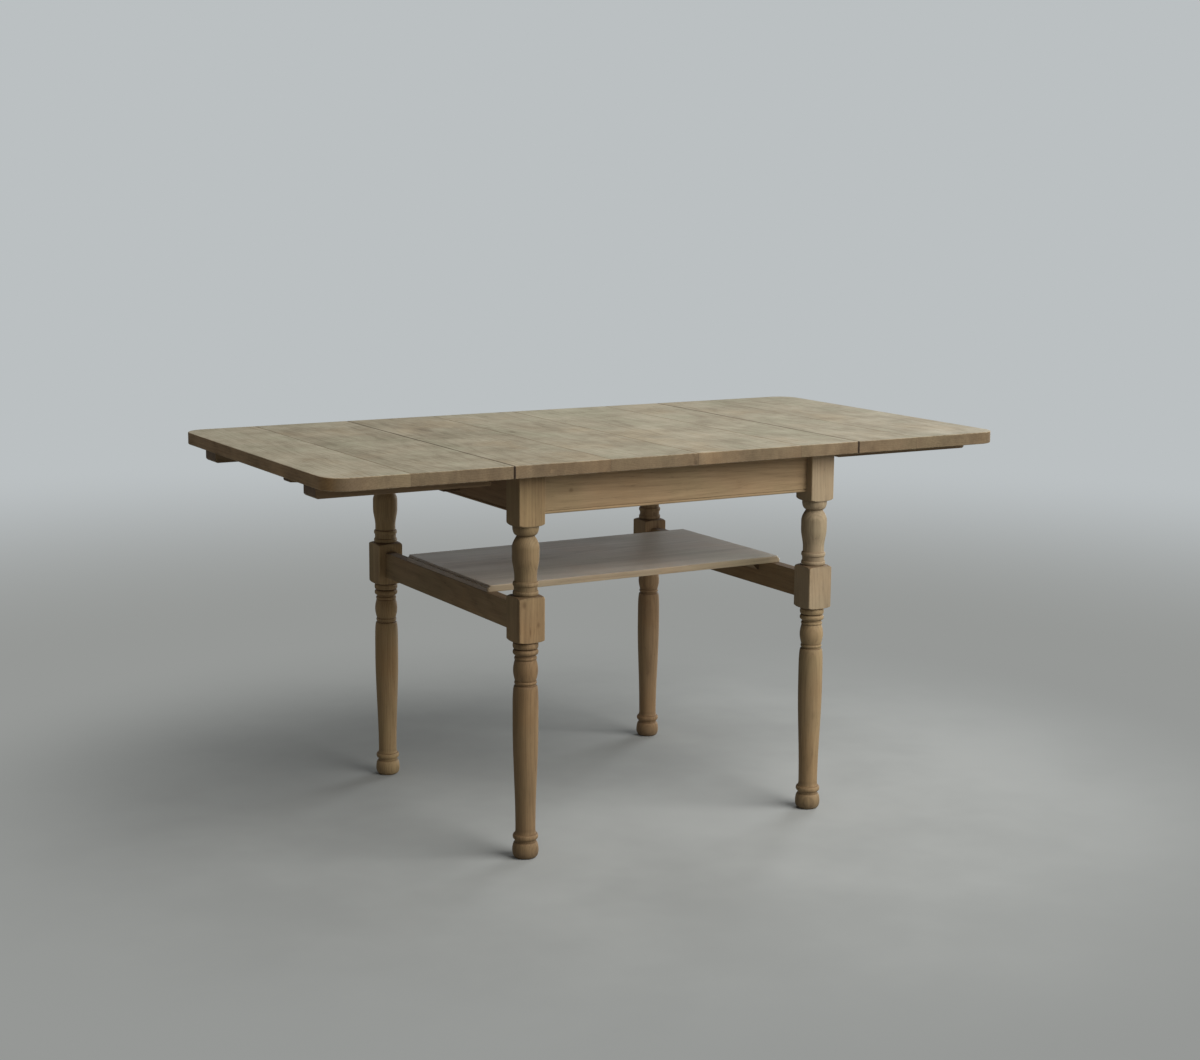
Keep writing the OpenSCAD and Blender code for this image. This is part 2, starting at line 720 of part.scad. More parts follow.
// Side view of the prop: a bar with a round end at the pivot, a flat on top of its tip
// and a round lower corner
module prop_outline() {
    r = prop_d / 2;
    along = [cos(prop_angle), sin(prop_angle)];
    down = [sin(prop_angle), -cos(prop_angle)] * r;
    start = [pivot_x, pivot_z];
    low_run = (tip_x - tip_round - start.x - down.x) / along.x;
    low_end = start + down + along * low_run;
    translate(start) circle(r);
    polygon([start - down, start + down, low_end, [tip_x - tip_round, pad_z], [pad_x, pad_z]]);
    translate(low_end + [0, tip_round]) circle(tip_round);
    polygon([[tip_x - tip_round - cut, low_end.y + tip_round], [tip_x, low_end.y + tip_round],
        [tip_x, pad_z - tip_ease], [tip_x - tip_ease, pad_z], [tip_x - tip_round - cut, pad_z]]);
}

module prop(side) {
    y = side * prop_y;
    color(hidden_wood)
    to_side(side)
    difference() {
        translate([0, y + prop_w / 2, 0]) rotate([90, 0, 0]) linear_extrude(prop_w) prop_outline();
        translate([pivot_x, y + prop_w, pivot_z]) rotate([90, 0, 0])
            cylinder(d = prop_pin_d + 2 * pin_clearance, h = 2 * prop_w);
    }
}

module prop_pin(side) {
    color(iron)
    to_side(side)
    translate([pivot_x, side * prop_y + block_w / 2, pivot_z]) rotate([90, 0, 0])
        cylinder(d = prop_pin_d, h = block_w);
}

// The block on the end apron that holds the prop between two ears
module prop_block(side) {
    y = side * prop_y;
    color(hidden_wood)
    to_side(side)
    difference() {
        box([end_apron_x, y - block_w / 2, block_z], [block_x, y + block_w / 2, block_z + prop_block_h]);
        box([end_apron_x + prop_slot_base, y - slot_w / 2, block_z - cut],
            [block_x + cut, y + slot_w / 2, block_z + prop_block_h + cut]);
        translate([pivot_x, y + block_w, pivot_z]) rotate([90, 0, 0])
            cylinder(d = prop_pin_d + 2 * pin_clearance, h = 2 * block_w);
        prop_block_screws_at(side, screw_clearance);
    }
}

module prop_block_screws_at(side, grow) {
    ear_y = (slot_w + prop_ear_t) / 2;
    for (dy = [-ear_y, ear_y], dz = [-block_screw_z, block_screw_z])
        translate([block_x, side * prop_y + dy, pivot_z + dz]) rotate([0, -90, 0])
            wood_screw(block_x - end_apron_x, grow);
}

module prop_block_screws() {
    color(iron) for (side = [LEFT, RIGHT]) to_side(side) prop_block_screws_at(side, 0);
}

// Hinges. A part of -1 is on the centre top and 1 is on the leaf.
module at_hinge(face) {
    translate([hinge_x, face < 0 ? -hinge_front_y : hinge_back_y, under_z]) children();
}

module hinge_recess(side, part) {
    for (face = [FRONT, BACK]) at_hinge(face) {
        mirror([part < 0 ? 1 : 0, 0, 0])
            box([0, -hinge_w / 2 - plate_room, -cut],
                [hinge_l + plate_room, hinge_w / 2 + plate_room, hinge_t + plate_room]);
        translate([0, hinge_w / 2 + cut, 0]) rotate([90, 0, 0])
            cylinder(r = relief_r, h = hinge_w + 2 * cut);
    }
}

module hinge_screws(side, part, grow) {
    for (face = [FRONT, BACK], p = hinge_screw_at)
        at_hinge(face)
        translate([part * (knuckle_r + p.x * hinge_l), p.y * hinge_w, 0])
            if (grow > 0) screw(hinge_t, hinge_screw_d, hinge_screw_head_d, screw_bite, grow);
            else slotted_screw(hinge_t, hinge_screw_d, hinge_screw_head_d, screw_bite);
}

// The stretches of knuckle on one part, as [low y, high y]
function knuckles(part) = part > 0
    ? [[-mid_knuckle_w / 2, mid_knuckle_w / 2]]
    : [[-hinge_w / 2, -hinge_w / 2 + side_knuckle_w], [hinge_w / 2 - side_knuckle_w, hinge_w / 2]];

module hinge_plate(side, face, part) {
    gap_x = relief_r + knuckle_gap;
    color(iron)
    to_side(side)
    difference() {
        at_hinge(face) {
            mirror([part < 0 ? 1 : 0, 0, 0]) {
                box([gap_x, -hinge_w / 2, 0], [hinge_l, hinge_w / 2, hinge_t]);
                for (k = knuckles(part)) box([knuckle_r / 2, k[0], 0], [gap_x + cut, k[1], hinge_t]);
            }
            for (k = knuckles(part))
                translate([0, k[1], 0]) rotate([90, 0, 0]) cylinder(r = knuckle_r, h = k[1] - k[0]);
        }
        at_hinge(face) translate([0, hinge_w, 0]) rotate([90, 0, 0])
            cylinder(d = hinge_pin_d + 2 * pin_clearance, h = 2 * hinge_w);
        hinge_screws(side, part, screw_clearance);
    }
}

module hinge_pins(side) {
    color(iron)
    to_side(side)
    for (face = [FRONT, BACK]) at_hinge(face)
        translate([0, hinge_w / 2, 0]) rotate([90, 0, 0]) cylinder(d = hinge_pin_d, h = hinge_w);
}

module hinge_top_screws() {
    color(iron) for (side = [LEFT, RIGHT]) to_side(side) hinge_screws(side, -1, 0);
}

module hinge_leaf_screws(side) {
    color(iron) to_side(side) hinge_screws(side, 1, 0);
}

leg(LEFT, FRONT);  // leg_front_left
leg(RIGHT, FRONT);  // leg_front_right
leg(LEFT, BACK);  // leg_back_left
leg(RIGHT, BACK);  // leg_back_right
long_apron(FRONT);  // apron_front
long_apron(BACK);  // apron_back
end_apron(LEFT);  // apron_left
end_apron(RIGHT);  // apron_right
side_rail(LEFT);  // rail_left
side_rail(RIGHT);  // rail_right
shelf();
shelf_blocks();
centre_board(1);  // centre_board_1
centre_board(2);  // centre_board_2
centre_board(3);  // centre_board_3
centre_board(4);  // centre_board_4
top_buttons();
button_screws();
leaf_board(LEFT, 0, left_board_w);  // left_inner_board
leaf_board(LEFT, left_board_w, leaf_l);  // left_outer_board
leaf_board(RIGHT, 0, right_board_w);  // right_inner_board
leaf_board(RIGHT, right_board_w, leaf_l);  // right_outer_board
batten(LEFT, FRONT);  // left_batten_front
batten(LEFT, BACK);  // left_batten_back
batten(RIGHT, FRONT);  // right_batten_front
batten(RIGHT, BACK);  // right_batten_back
batten_screws_on(LEFT);  // left_batten_screws
batten_screws_on(RIGHT);  // right_batten_screws
catch_block(LEFT);  // left_catch
catch_block(RIGHT);  // right_catch
catch_screws_on(LEFT);  // left_catch_screws
catch_screws_on(RIGHT);  // right_catch_screws
prop(LEFT);  // left_prop
prop(RIGHT);  // right_prop
prop_pin(LEFT);  // left_prop_pin
prop_pin(RIGHT);  // right_prop_pin
prop_block(LEFT);  // left_prop_block
prop_block(RIGHT);  // right_prop_block
prop_block_screws();
hinge_plate(LEFT, FRONT, -1);  // left_hinge_front_top
hinge_plate(LEFT, FRONT, 1);  // left_hinge_front_leaf
hinge_plate(LEFT, BACK, -1);  // left_hinge_back_top
hinge_plate(LEFT, BACK, 1);  // left_hinge_back_leaf
hinge_plate(RIGHT, FRONT, -1);  // right_hinge_front_top
hinge_plate(RIGHT, FRONT, 1);  // right_hinge_front_leaf
hinge_plate(RIGHT, BACK, -1);  // right_hinge_back_top
hinge_plate(RIGHT, BACK, 1);  // right_hinge_back_leaf
hinge_pins(LEFT);  // left_hinge_pins
hinge_pins(RIGHT);  // right_hinge_pins
hinge_top_screws();
hinge_leaf_screws(LEFT);  // left_hinge_leaf_screws
hinge_leaf_screws(RIGHT);  // right_hinge_leaf_screws
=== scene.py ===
import json
import math

import bmesh
import bpy
from mathutils import Matrix, Vector, noise

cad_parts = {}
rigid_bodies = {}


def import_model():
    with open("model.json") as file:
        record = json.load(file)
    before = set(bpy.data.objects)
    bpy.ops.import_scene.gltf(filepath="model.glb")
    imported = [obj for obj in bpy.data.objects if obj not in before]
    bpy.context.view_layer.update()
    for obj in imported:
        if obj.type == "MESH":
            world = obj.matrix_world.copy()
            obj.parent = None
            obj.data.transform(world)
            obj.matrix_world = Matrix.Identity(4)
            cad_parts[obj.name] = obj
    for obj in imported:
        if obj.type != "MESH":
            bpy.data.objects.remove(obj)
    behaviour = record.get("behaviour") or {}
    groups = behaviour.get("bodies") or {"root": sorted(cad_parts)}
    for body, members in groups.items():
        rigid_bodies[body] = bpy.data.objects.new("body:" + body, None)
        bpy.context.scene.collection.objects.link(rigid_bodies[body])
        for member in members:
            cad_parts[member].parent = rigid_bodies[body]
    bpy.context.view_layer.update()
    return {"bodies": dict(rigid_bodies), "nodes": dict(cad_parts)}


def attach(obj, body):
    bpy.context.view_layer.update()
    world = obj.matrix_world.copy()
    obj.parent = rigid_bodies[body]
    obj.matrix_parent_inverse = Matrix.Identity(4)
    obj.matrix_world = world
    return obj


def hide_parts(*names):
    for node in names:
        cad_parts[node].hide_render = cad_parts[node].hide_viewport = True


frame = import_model()
nodes = frame["nodes"]
# The body that each node rides on, and its material slot
node_body = {node: body for node, solid in nodes.items()
             for body, empty in frame["bodies"].items() if solid.parent is empty}
node_slot = {node: solid.data.materials[0].name.split(".")[0] for node, solid in nodes.items()}

# Sizes of the table in metres, as in the CAD model
MM = 0.001
TABLE_H = 0.730
UNDER_Z = 0.707             # the underside of the top
SEAM_X = 0.368              # where the centre top ends
LEAF_X = 0.369              # where a leaf starts
LEAF_END = 0.715
HALF_W = 0.3675             # half the table's depth
CORNER_R = 0.044            # of the leaves' outer corners
LEG_X = 0.314
LEG_Y = 0.3045

# The legs in millimetres
TABLE_MM = 730
LOW_BLOCK = (405, 484)      # heights between which they are square
HIGH_BLOCK = 615            # height above which they are square again
BLOCK_FADE = 4              # from there to where they are round
BLOCK_HALF = 26             # half the square's side
BLOCK_CORNER = 2.0          # radius of its rounded corners

# The camera, fitted to the table's own edges
CAM_AT = (-2.0125, -3.5146, 1.2318)
CAM_YAW = 0.523
CAM_PITCH = 0.171
CAM_ROLL = 0.007
CAM_LENS = 62.28
CAM_SENSOR = 36


def make_camera():
    forward = Vector((math.sin(CAM_YAW) * math.cos(CAM_PITCH),
                      math.cos(CAM_YAW) * math.cos(CAM_PITCH), -math.sin(CAM_PITCH)))
    level = Vector((math.cos(CAM_YAW), -math.sin(CAM_YAW), 0))
    upright = level.cross(forward)
    right = level * math.cos(CAM_ROLL) + upright * math.sin(CAM_ROLL)
    up = upright * math.cos(CAM_ROLL) - level * math.sin(CAM_ROLL)
    camera = bpy.data.objects.new("camera", bpy.data.cameras.new("camera"))
    bpy.context.scene.collection.objects.link(camera)
    camera.data.lens = CAM_LENS
    camera.data.sensor_width = CAM_SENSOR
    place = Matrix((right, up, -forward)).transposed().to_4x4()
    place.translation = Vector(CAM_AT)
    camera.matrix_world = place
    bpy.context.scene.camera = camera


# Colours
def srgb(red, green, blue):
    """A colour as it is seen, 0 to 255, in the linear values that nodes take."""
    def linear(part):
        part /= 255
        return part / 12.92 if part <= 0.04045 else ((part + 0.055) / 1.055) ** 2.4
    return (linear(red), linear(green), linear(blue), 1)


def times_each(color, factors):
    """A colour with each of its three parts times a factor."""
    return (*(part * factor for part, factor in zip(color, factors)), 1)


# The wood of each kind of piece: light and dark. UP is what its faces that look up have instead.
EDGE = (srgb(151, 120, 79), srgb(105, 80, 49))
TOP_UP = (srgb(182, 172, 149), srgb(135, 124, 102))
FRAME = (srgb(152, 125, 88), srgb(100, 79, 54))
# The front and back aprons are painted lighter and the end aprons darker than one frame wood: painted
# light and painted shade
APRON_LIT = (srgb(167, 140, 105), srgb(119, 98, 71))
SIDE_APRON_SHADED = (srgb(144, 113, 78), srgb(94, 71, 47))
# The rails' tops are painted darker and greyer: painted shade
RAIL_UP_SHADED = (srgb(124, 102, 76), srgb(86, 69, 50))
SHELF = (srgb(168, 149, 121), srgb(120, 103, 79))
# The shelf's top is paler than its wood: partly its own paler face and partly painted light, where little
# light reaches under the top
SHELF_UP = (srgb(208, 197, 183), srgb(160, 150, 137))
HIDDEN = (srgb(132, 108, 78), srgb(84, 66, 46))

# Rubbed edges
WORN = srgb(172, 148, 112)
TOP_WORN = srgb(182, 170, 144)
SHELF_WORN = srgb(172, 154, 124)
WORN_SHARE = 0.45

# What multiplies the wood's colour at the ends of the grain, and there in the clean and grimy patches
WOOD_END = (0.62, 0.56, 0.50)
TOP_END = (0.69, 0.80, 1.05)
SHELF_END = (0.60, 0.49, 0.37)
END_CLEAN = (1.08, 1.08, 1.08)
END_GRIME = (0.78, 0.75, 0.72)

# What multiplies the wood's colour elsewhere
UNTINTED = (1.0, 1.0, 1.0)
COOL = (0.91, 1.0, 0.97, 1)
WARM = (1.0, 0.90, 0.79, 1)
STAIN = (0.45, 0.38, 0.30, 1)
# Bleached wood, and the painted sheen on the front right leg
BLEACH_AND_SHEEN = (1.42, 1.42, 1.44, 1)
# Painted shade at the leaves' seams, and dirt in the glued joints
JOINT_DIRT_AND_SHADE = (0.22, 0.17, 0.12, 1)
PORE_DIRT = (0.34, 0.28, 0.22, 1)
PORE_SHARE = 0.45

IRON = srgb(74, 70, 66)
RUST = srgb(98, 62, 42)
PIT = srgb(34, 32, 31)
FLOOR_LIGHT = srgb(160, 162, 160)
FLOOR_DARK = srgb(146, 148, 146)
FLOOR_FAR = srgb(150, 152, 150)
BACKDROP = srgb(187, 192, 194)
WORLD = (1.0, 0.98, 0.94, 1)
WORLD_STRENGTH = 0.13


# Shader helpers
FACTOR, VECTOR = 0, 1       # the outputs of a noise node


class Net:
    """Adds nodes to one new material."""

    def __init__(self, name):
        self.material = bpy.data.materials.new(name)
        self.material.use_nodes = True
        self.tree = self.material.node_tree
        self.surface = self.tree.nodes["Principled BSDF"]
        coordinates = self.tree.nodes.new("ShaderNodeTexCoord")
        self.place = coordinates.outputs["Object"]
        self.normal = coordinates.outputs["Normal"]

    def feed(self, socket, value):
        """Links a socket to another one or gives it a constant. None leaves it as it is."""
        if isinstance(value, bpy.types.NodeSocket):
            self.tree.links.new(value, socket)
        elif value is not None:
            socket.default_value = value

    def add(self, kind, inputs, **settings):
        """The first output of a new node."""
        node = self.tree.nodes.new("ShaderNode" + kind)
        for name, value in settings.items():
            setattr(node, name, value)
        for socket, value in zip(node.inputs, inputs):
            self.feed(socket, value)
        return node.outputs[0]

    def math(self, operation, a, b=None, c=None, clamp=False):
        return self.add("Math", (a, b, c), operation=operation, use_clamp=clamp)

    def times(self, a, b):
        return self.math("MULTIPLY", a, b)

    def plus(self, *parts):
        total = parts[0]
        for part in parts[1:]:
            total = self.math("ADD", total, part)
        return total

    def length(self, a, b):
        """The root of a squared plus b squared."""
        return self.math("SQRT", self.plus(self.times(a, a), self.times(b, b)))

    def vector_math(self, operation, a, b):
        return self.add("VectorMath", (a, b), operation=operation)

    def scale(self, vector, factor):
        """A vector times a vector or a number."""
        factors = factor if isinstance(factor, tuple) else (factor, factor, factor)
        return self.vector_math("MULTIPLY", vector, factors)

    def join(self, x, y, z):
        return self.add("CombineXYZ", (x, y, z))

    def split(self, vector):
        node = self.tree.nodes.new("ShaderNodeSeparateXYZ")
        self.feed(node.inputs[0], vector)
        return tuple(node.outputs)

    def noise(self, vector, detail=2.0, rough=0.5, out=FACTOR):
        """Noise of a vector that is already at its scale."""
        node = self.tree.nodes.new("ShaderNodeTexNoise")
        self.feed(node.inputs["Vector"], vector)
        node.inputs["Scale"].default_value = 1
        node.inputs["Detail"].default_value = detail
        node.inputs["Roughness"].default_value = rough
        return node.outputs[out]

    def step(self, value, start, end, low=0.0, high=1.0):
        """A smooth step from low at start to high at end."""
        return self.add("MapRange", (value, start, end, low, high), interpolation_type="SMOOTHSTEP")

    def mix(self, share, a, b, blend="MIX"):
        node = self.tree.nodes.new("ShaderNodeMix")
        node.data_type = "RGBA"
        node.blend_type = blend
        # The node has a set of sockets for each kind of data: these are the ones for colours
        self.feed(node.inputs[0], share)
        self.feed(node.inputs[6], a)
        self.feed(node.inputs[7], b)
        return node.outputs[2]

    def tint(self, share, color, tint):
        """The colour times a tint, as far as the share goes."""
        return self.mix(share, color, tint, "MULTIPLY")

    def ramp(self, value, stops):
        """Stops are a place and a colour or a grey."""
        node = self.tree.nodes.new("ShaderNodeValToRGB")
        elements = node.color_ramp.elements
        while len(elements) < len(stops):
            elements.new(0.5)
        for element, (at, color) in zip(elements, stops):
            element.position = at
            element.color = color if isinstance(color, tuple) else (color, color, color, 1)
        self.feed(node.inputs[0], value)
        return node.outputs[0]

    def centred(self, value, gain):
        """gain times how far the value is from a half."""
        return self.math("MULTIPLY_ADD", value, gain, -gain / 2)

    def away(self, value, at, half):
        """How far the value is from a place, as a share of a half width."""
        return self.math("ABSOLUTE", self.math("MULTIPLY_ADD", value, 1 / half, -at / half))

    def finish(self, color, rough, height=None, depth=0.0):
        """Feeds the surface. A height has a bump that deep."""
        self.feed(self.surface.inputs["Base Color"], color)
        self.feed(self.surface.inputs["Roughness"], rough)
        if height is not None:
            bump = self.tree.nodes.new("ShaderNodeBump")
            bump.inputs["Strength"].default_value = 1
            bump.inputs["Distance"].default_value = depth
            self.feed(bump.inputs["Height"], height)
            self.feed(self.surface.inputs["Normal"], bump.outputs[0])
        return self.material


# Wood
# The axes across, along and through the grain, by the way that it runs
AXES = {"X": (1, 0, 2), "Y": (0, 1, 2), "Z": (0, 2, 1)}

# The layers of the grain: noise scale across and along it, detail and roughness
LAYERS = {
    "streak": (46.0, 1.7, 3.0, 0.55),
    "wide": (13.0, 1.1, 2.0, 0.5),
    "thread": (150.0, 3.5, 2.0, 0.6),
    "fibre": (420.0, 11.0, 3.0, 0.6),
    "blotch": (11.0, 5.0, 5.0, 0.64),
}
# The log's bends: noise scale, detail and, for the small ones, how far they go
BEND_SCALE, BEND_DETAIL = (3.0, 0.9, 3.0), 1.0
RIPPLE_SCALE, RIPPLE_DETAIL, RIPPLE = (26.0, 4.0, 26.0), 2.0, 0.005
LEAN_THROUGH = 1.6          # how many times as far it leans through the piece as across
SEED_STEP = (1.7, 0.9, 2.3)     # how far a seed of 1 moves the wood in the log
# A year's ring: a place in it and the tone there
YEAR = ((0.0, 0.15), (0.25, 0.55), (0.55, 1.0), (0.9, 0.8), (1.0, 0.2))
UNEVEN_RINGS = 90.0         # noise scale along the radius, for wider and narrower years
PORE_SCALE = (1500.0, 60.0, 1500.0)
PORE_START, PORE_FULL = 0.60, 0.72
PATCH_SCALE = (7.0, 5.5, 7.0)
# How far a face looks along the grain before it shows the grain's ends
END_START, END_FULL = 0.55, 0.9
GRIME_ACROSS, GRIME_THROUGH = 34, 13
# How much the streaks and the threads tear the edge of a spot
TORN_BY_STREAK, TORN_BY_THREAD = 1.6, 0.8
# The most that a face looks along any one axis, where an arris starts to be rubbed and is in full
RUB_START, RUB_FULL = 0.985, 0.85
# The relief of the surface, in metres and in shares of it
GRAIN_DEPTH = 0.0003
FIBRE_SHARE, RING_SHARE, PORE_HOLE_SHARE = 0.7, 0.2, 0.6

# How strongly each layer of the grain tells, how far the log bends, and how short its streaks are
GAINS = ("streak", "wide", "thread", "fibre", "ring", "blotch")
PLAIN = {"streak": 0.65, "wide": 0.75, "thread": 0.5, "fibre": 0.6, "ring": 0.2, "blotch": 0.9,
         "bending": 0.035, "short": 1.0}
CALM = {"streak": 0.4, "wide": 0.45, "thread": 0.45, "fibre": 0.6, "ring": 0.14, "blotch": 0.55,
        "bending": 0.035, "short": 1.4}
TOP = {"streak": 0.22, "wide": 0.26, "thread": 0.55, "fibre": 1.0, "ring": 0.2, "blotch": 1.7,
       "bending": 0.02, "short": 2.2}

# How square a leg is, by height as a share of the table's: 0 for round and 1 for square
SQUARE_STOPS = tuple((z / TABLE_MM, square) for z, square in (
    (0, 0.0),
    (LOW_BLOCK[0] - BLOCK_FADE, 0.0),
    (LOW_BLOCK[0], 1.0),
    (LOW_BLOCK[1], 1.0),
    (LOW_BLOCK[1] + BLOCK_FADE, 0.0),
    (HIGH_BLOCK - BLOCK_FADE, 0.0),
    (HIGH_BLOCK, 1.0),
))


class Oak(Net):
    """Old dry oak. The grain is solid: one log runs through the piece, so its faces and ends agree."""

    def __init__(self, name, axis, seed, pith, ring, lean, kind):
        super().__init__(name)
        self.seed = seed
        self.kind = kind
        self.xyz = self.split(self.place)
        self.normals = self.split(self.normal)
        self.across, self.along, self.through = AXES[axis]
        self.end_on = self.math("ABSOLUTE", self.normals[self.along])
        across = self.math("SUBTRACT", self.xyz[self.across], pith[0])
        along = self.xyz[self.along]
        through = self.math("SUBTRACT", self.xyz[self.through], pith[1])
        # The place in the log, moved by the seed to wood of its own
        self.log = self.vector_math("ADD", self.join(across, along, through),
                                    tuple(seed * step for step in SEED_STEP))
        self.layers = {}
        for layer, (scale_across, scale_along, detail, rough) in LAYERS.items():
            scale = (scale_across, scale_along * kind["short"], scale_across)
            self.layers[layer] = self.noise(self.scale(self.log, scale), detail, rough)
        self.layers["ring"] = self.rings(across, along, through, ring, lean)
        pore = self.noise(self.scale(self.log, PORE_SCALE), 1.0)
        pore = self.step(pore, PORE_START, PORE_FULL)
        self.pore = self.times(pore, self.step(self.layers["ring"], 0.75, 0.3, low=0.15))

    def wander(self, scale, detail, distance):
        """A vector that wanders by up to half the distance along each axis."""
        vector = self.noise(self.scale(self.log, scale), detail, out=VECTOR)
        return self.scale(self.vector_math("SUBTRACT", vector, (0.5, 0.5, 0.5)), distance)

    def rings(self, across, along, through, ring, lean):
        """The year's rings about the log's middle, which leans and bends."""
        bend = self.wander(BEND_SCALE, BEND_DETAIL, self.kind["bending"])
        ripple = self.wander(RIPPLE_SCALE, RIPPLE_DETAIL, RIPPLE)
        bend_across, _, bend_through = self.split(self.vector_math("ADD", bend, ripple))
        out_across = self.plus(self.math("MULTIPLY_ADD", along, lean, across), bend_across)
        leaning = self.math("MULTIPLY_ADD", along, lean * LEAN_THROUGH, through)
        out_through = self.plus(leaning, bend_through)
        radius = self.length(out_across, out_through)
        uneven = self.noise(self.join(self.times(radius, UNEVEN_RINGS), 0.0, self.seed), 1.0)
        year = self.plus(self.times(radius, 1 / ring), uneven)
        return self.ramp(self.math("FRACT", year), YEAR)

    def tone(self, pale):
        """All layers of the grain in one: 0 is the darkest and 1 the lightest wood."""
        tone = self.plus(*(self.centred(self.layers[layer], self.kind[layer]) for layer in GAINS))
        # It tells less on the ends of the grain
        tone = self.times(tone, self.step(self.end_on, 0.3, 0.8, low=1.0, high=0.7))
        return self.math("ADD", tone, 0.5 + pale, clamp=True)

    def patches(self, color):
        """Cooler and warmer patches."""
        hue = self.noise(self.scale(self.log, PATCH_SCALE), 4.0, 0.6)
        color = self.tint(self.step(hue, 0.46, 0.68, high=0.5), color, COOL)
        return self.tint(self.step(hue, 0.5, 0.32, high=0.5), color, WARM)

    def ends(self, color, end):
        """The ends of the grain, with grime in upright patches."""
        place = self.join(self.times(self.xyz[self.across], GRIME_ACROSS), self.seed,
                          self.times(self.xyz[self.through], GRIME_THROUGH))
        grime = self.noise(place, 4.0, 0.6)
        tint = self.mix(self.step(grime, 0.38, 0.66, high=0.75), times_each(end, END_CLEAN),
                        times_each(end, END_GRIME))
        return self.mix(self.step(self.end_on, END_START, END_FULL), color,
                        self.tint(1.0, color, tint))

    def spot(self, color, at_across, at_along, half_along, half_across, amount, axes=None):
        """An ellipse with a torn edge. It is paler where the amount is under 0: bleached wood, and on the
        front right leg a painted sheen.

        axes names the two that stand for across and along, where they aren't the grain's own.
        """
        if axes:
            across, along = ("XYZ".index(letter) for letter in axes)
        else:
            across, along = self.across, self.along
        out = self.length(self.away(self.xyz[across], at_across, half_across),
                          self.away(self.xyz[along], at_along, half_along))
        out = self.plus(out, self.centred(self.layers["streak"], TORN_BY_STREAK),
                        self.centred(self.layers["thread"], TORN_BY_THREAD))
        return self.tint(self.step(out, 1.0, 0.1, high=abs(amount)), color,
                         STAIN if amount > 0 else BLEACH_AND_SHEEN)

    def joint(self, color, x, half, amount):
        """A dark line at a joint between two boards, at its darkest on the ends of the grain: dirt in the
        glued joints, and painted shade in the leaves' seams.
        """
        dirt_and_shade = self.step(self.away(self.xyz[0], x, half), 1.0, 0.25, high=amount)
        dirt_and_shade = self.times(dirt_and_shade, self.step(self.layers["thread"], 0.2, 0.6, low=0.75))
        dirt_and_shade = self.times(dirt_and_shade, self.step(self.end_on, END_START, END_FULL, low=1.0, high=4.0))
        return self.tint(dirt_and_shade, color, JOINT_DIRT_AND_SHADE)

    def by_height(self, stops):
        return self.ramp(self.times(self.xyz[2], 1 / TABLE_H), stops)

    def rubbed(self, color, worn, level, turned):
        """Rubbed edges. A rounded arris looks along no axis."""
        facing = [self.math("ABSOLUTE", normal) for normal in self.normals]
        most = self.math("MAXIMUM", self.math("MAXIMUM", facing[0], facing[1]), facing[2])
        rub = self.step(most, RUB_START, RUB_FULL)
        rub = self.times(rub, self.step(self.layers["thread"], 0.3, 0.65))
        if level:
            rub = self.times(rub, self.step(facing[2], 0.1, 0.35))
        if turned:
            # The round parts of a leg have no edges to rub
            rub = self.times(rub, self.by_height(SQUARE_STOPS))
        return self.mix(self.times(rub, WORN_SHARE), color, worn)

    def height(self):
        """The fine relief of fibres, rings and pores."""
        raised = self.math("MULTIPLY_ADD", self.layers["fibre"], FIBRE_SHARE,
                           self.times(self.layers["ring"], RING_SHARE))
        return self.math("SUBTRACT", raised, self.times(self.pore, PORE_HOLE_SHARE))


def wood(name, axis, seed, colors, pith, ring, lean, kind=PLAIN, end=WOOD_END, up=None, worn=WORN,
         bands=None, spots=(), lines=(), pale=0.0, rough=(0.84, 0.70), gloss=0.4, level=False):
    """A material of oak, its grain along an axis.

    pith is the log's middle in the piece's cross-section, ring the width of a year's ring and lean
    how far the log leans along the grain. up has the colours of faces that look up, bands a leg's
    tints by height. spots and lines hold what Oak.spot and Oak.joint take. rough is for the dark and
    the light wood. level keeps the rubbed edges to those that run level.
    """
    oak = Oak(name, axis, seed, pith, ring, lean, kind)
    tone = oak.tone(pale)
    light, dark = colors
    color = oak.mix(tone, dark, light)
    if up:
        # On the shelf's top these are partly painted light, and on the rails' tops painted shade
        up_light, up_dark = up
        color = oak.mix(oak.step(oak.normals[2], 0.82, 0.97), color, oak.mix(tone, up_dark, up_light))
    color = oak.patches(color)
    color = oak.tint(oak.times(oak.pore, PORE_SHARE), color, PORE_DIRT)
    color = oak.ends(color, end)
    for spot in spots:
        color = oak.spot(color, *spot)
    for line in lines:
        color = oak.joint(color, *line)
    if bands:
        color = oak.tint(1.0, color, oak.by_height(bands))
    color = oak.rubbed(color, worn, level, turned=bool(bands))
    oak.surface.inputs["Specular IOR Level"].default_value = gloss
    return oak.finish(color, oak.step(tone, 0.0, 1.0, *rough), oak.height(), GRAIN_DEPTH)


# Iron
IRON_SEED = 3.3
IRON_METALLIC = 0.6
RUST_SCALE, PIT_SCALE = 160.0, 900.0
RUST_ROUGH = (0.42, 0.8)    # of bare and of rusty iron
PIT_DEPTH = 0.0002


def iron(name, seed):
    net = Net(name)
    place = net.vector_math("ADD", net.place, (seed, seed, seed))
    rust = net.noise(net.scale(place, RUST_SCALE), 4.0, 0.65)
    pit = net.noise(net.scale(place, PIT_SCALE))
    color = net.mix(net.step(rust, 0.48, 0.68), IRON, RUST)
    color = net.mix(net.step(pit, 0.35, 0.75, high=0.5), color, PIT)
    net.surface.inputs["Metallic"].default_value = IRON_METALLIC
    return net.finish(color, net.step(rust, 0.3, 0.7, *RUST_ROUGH), pit, PIT_DEPTH)


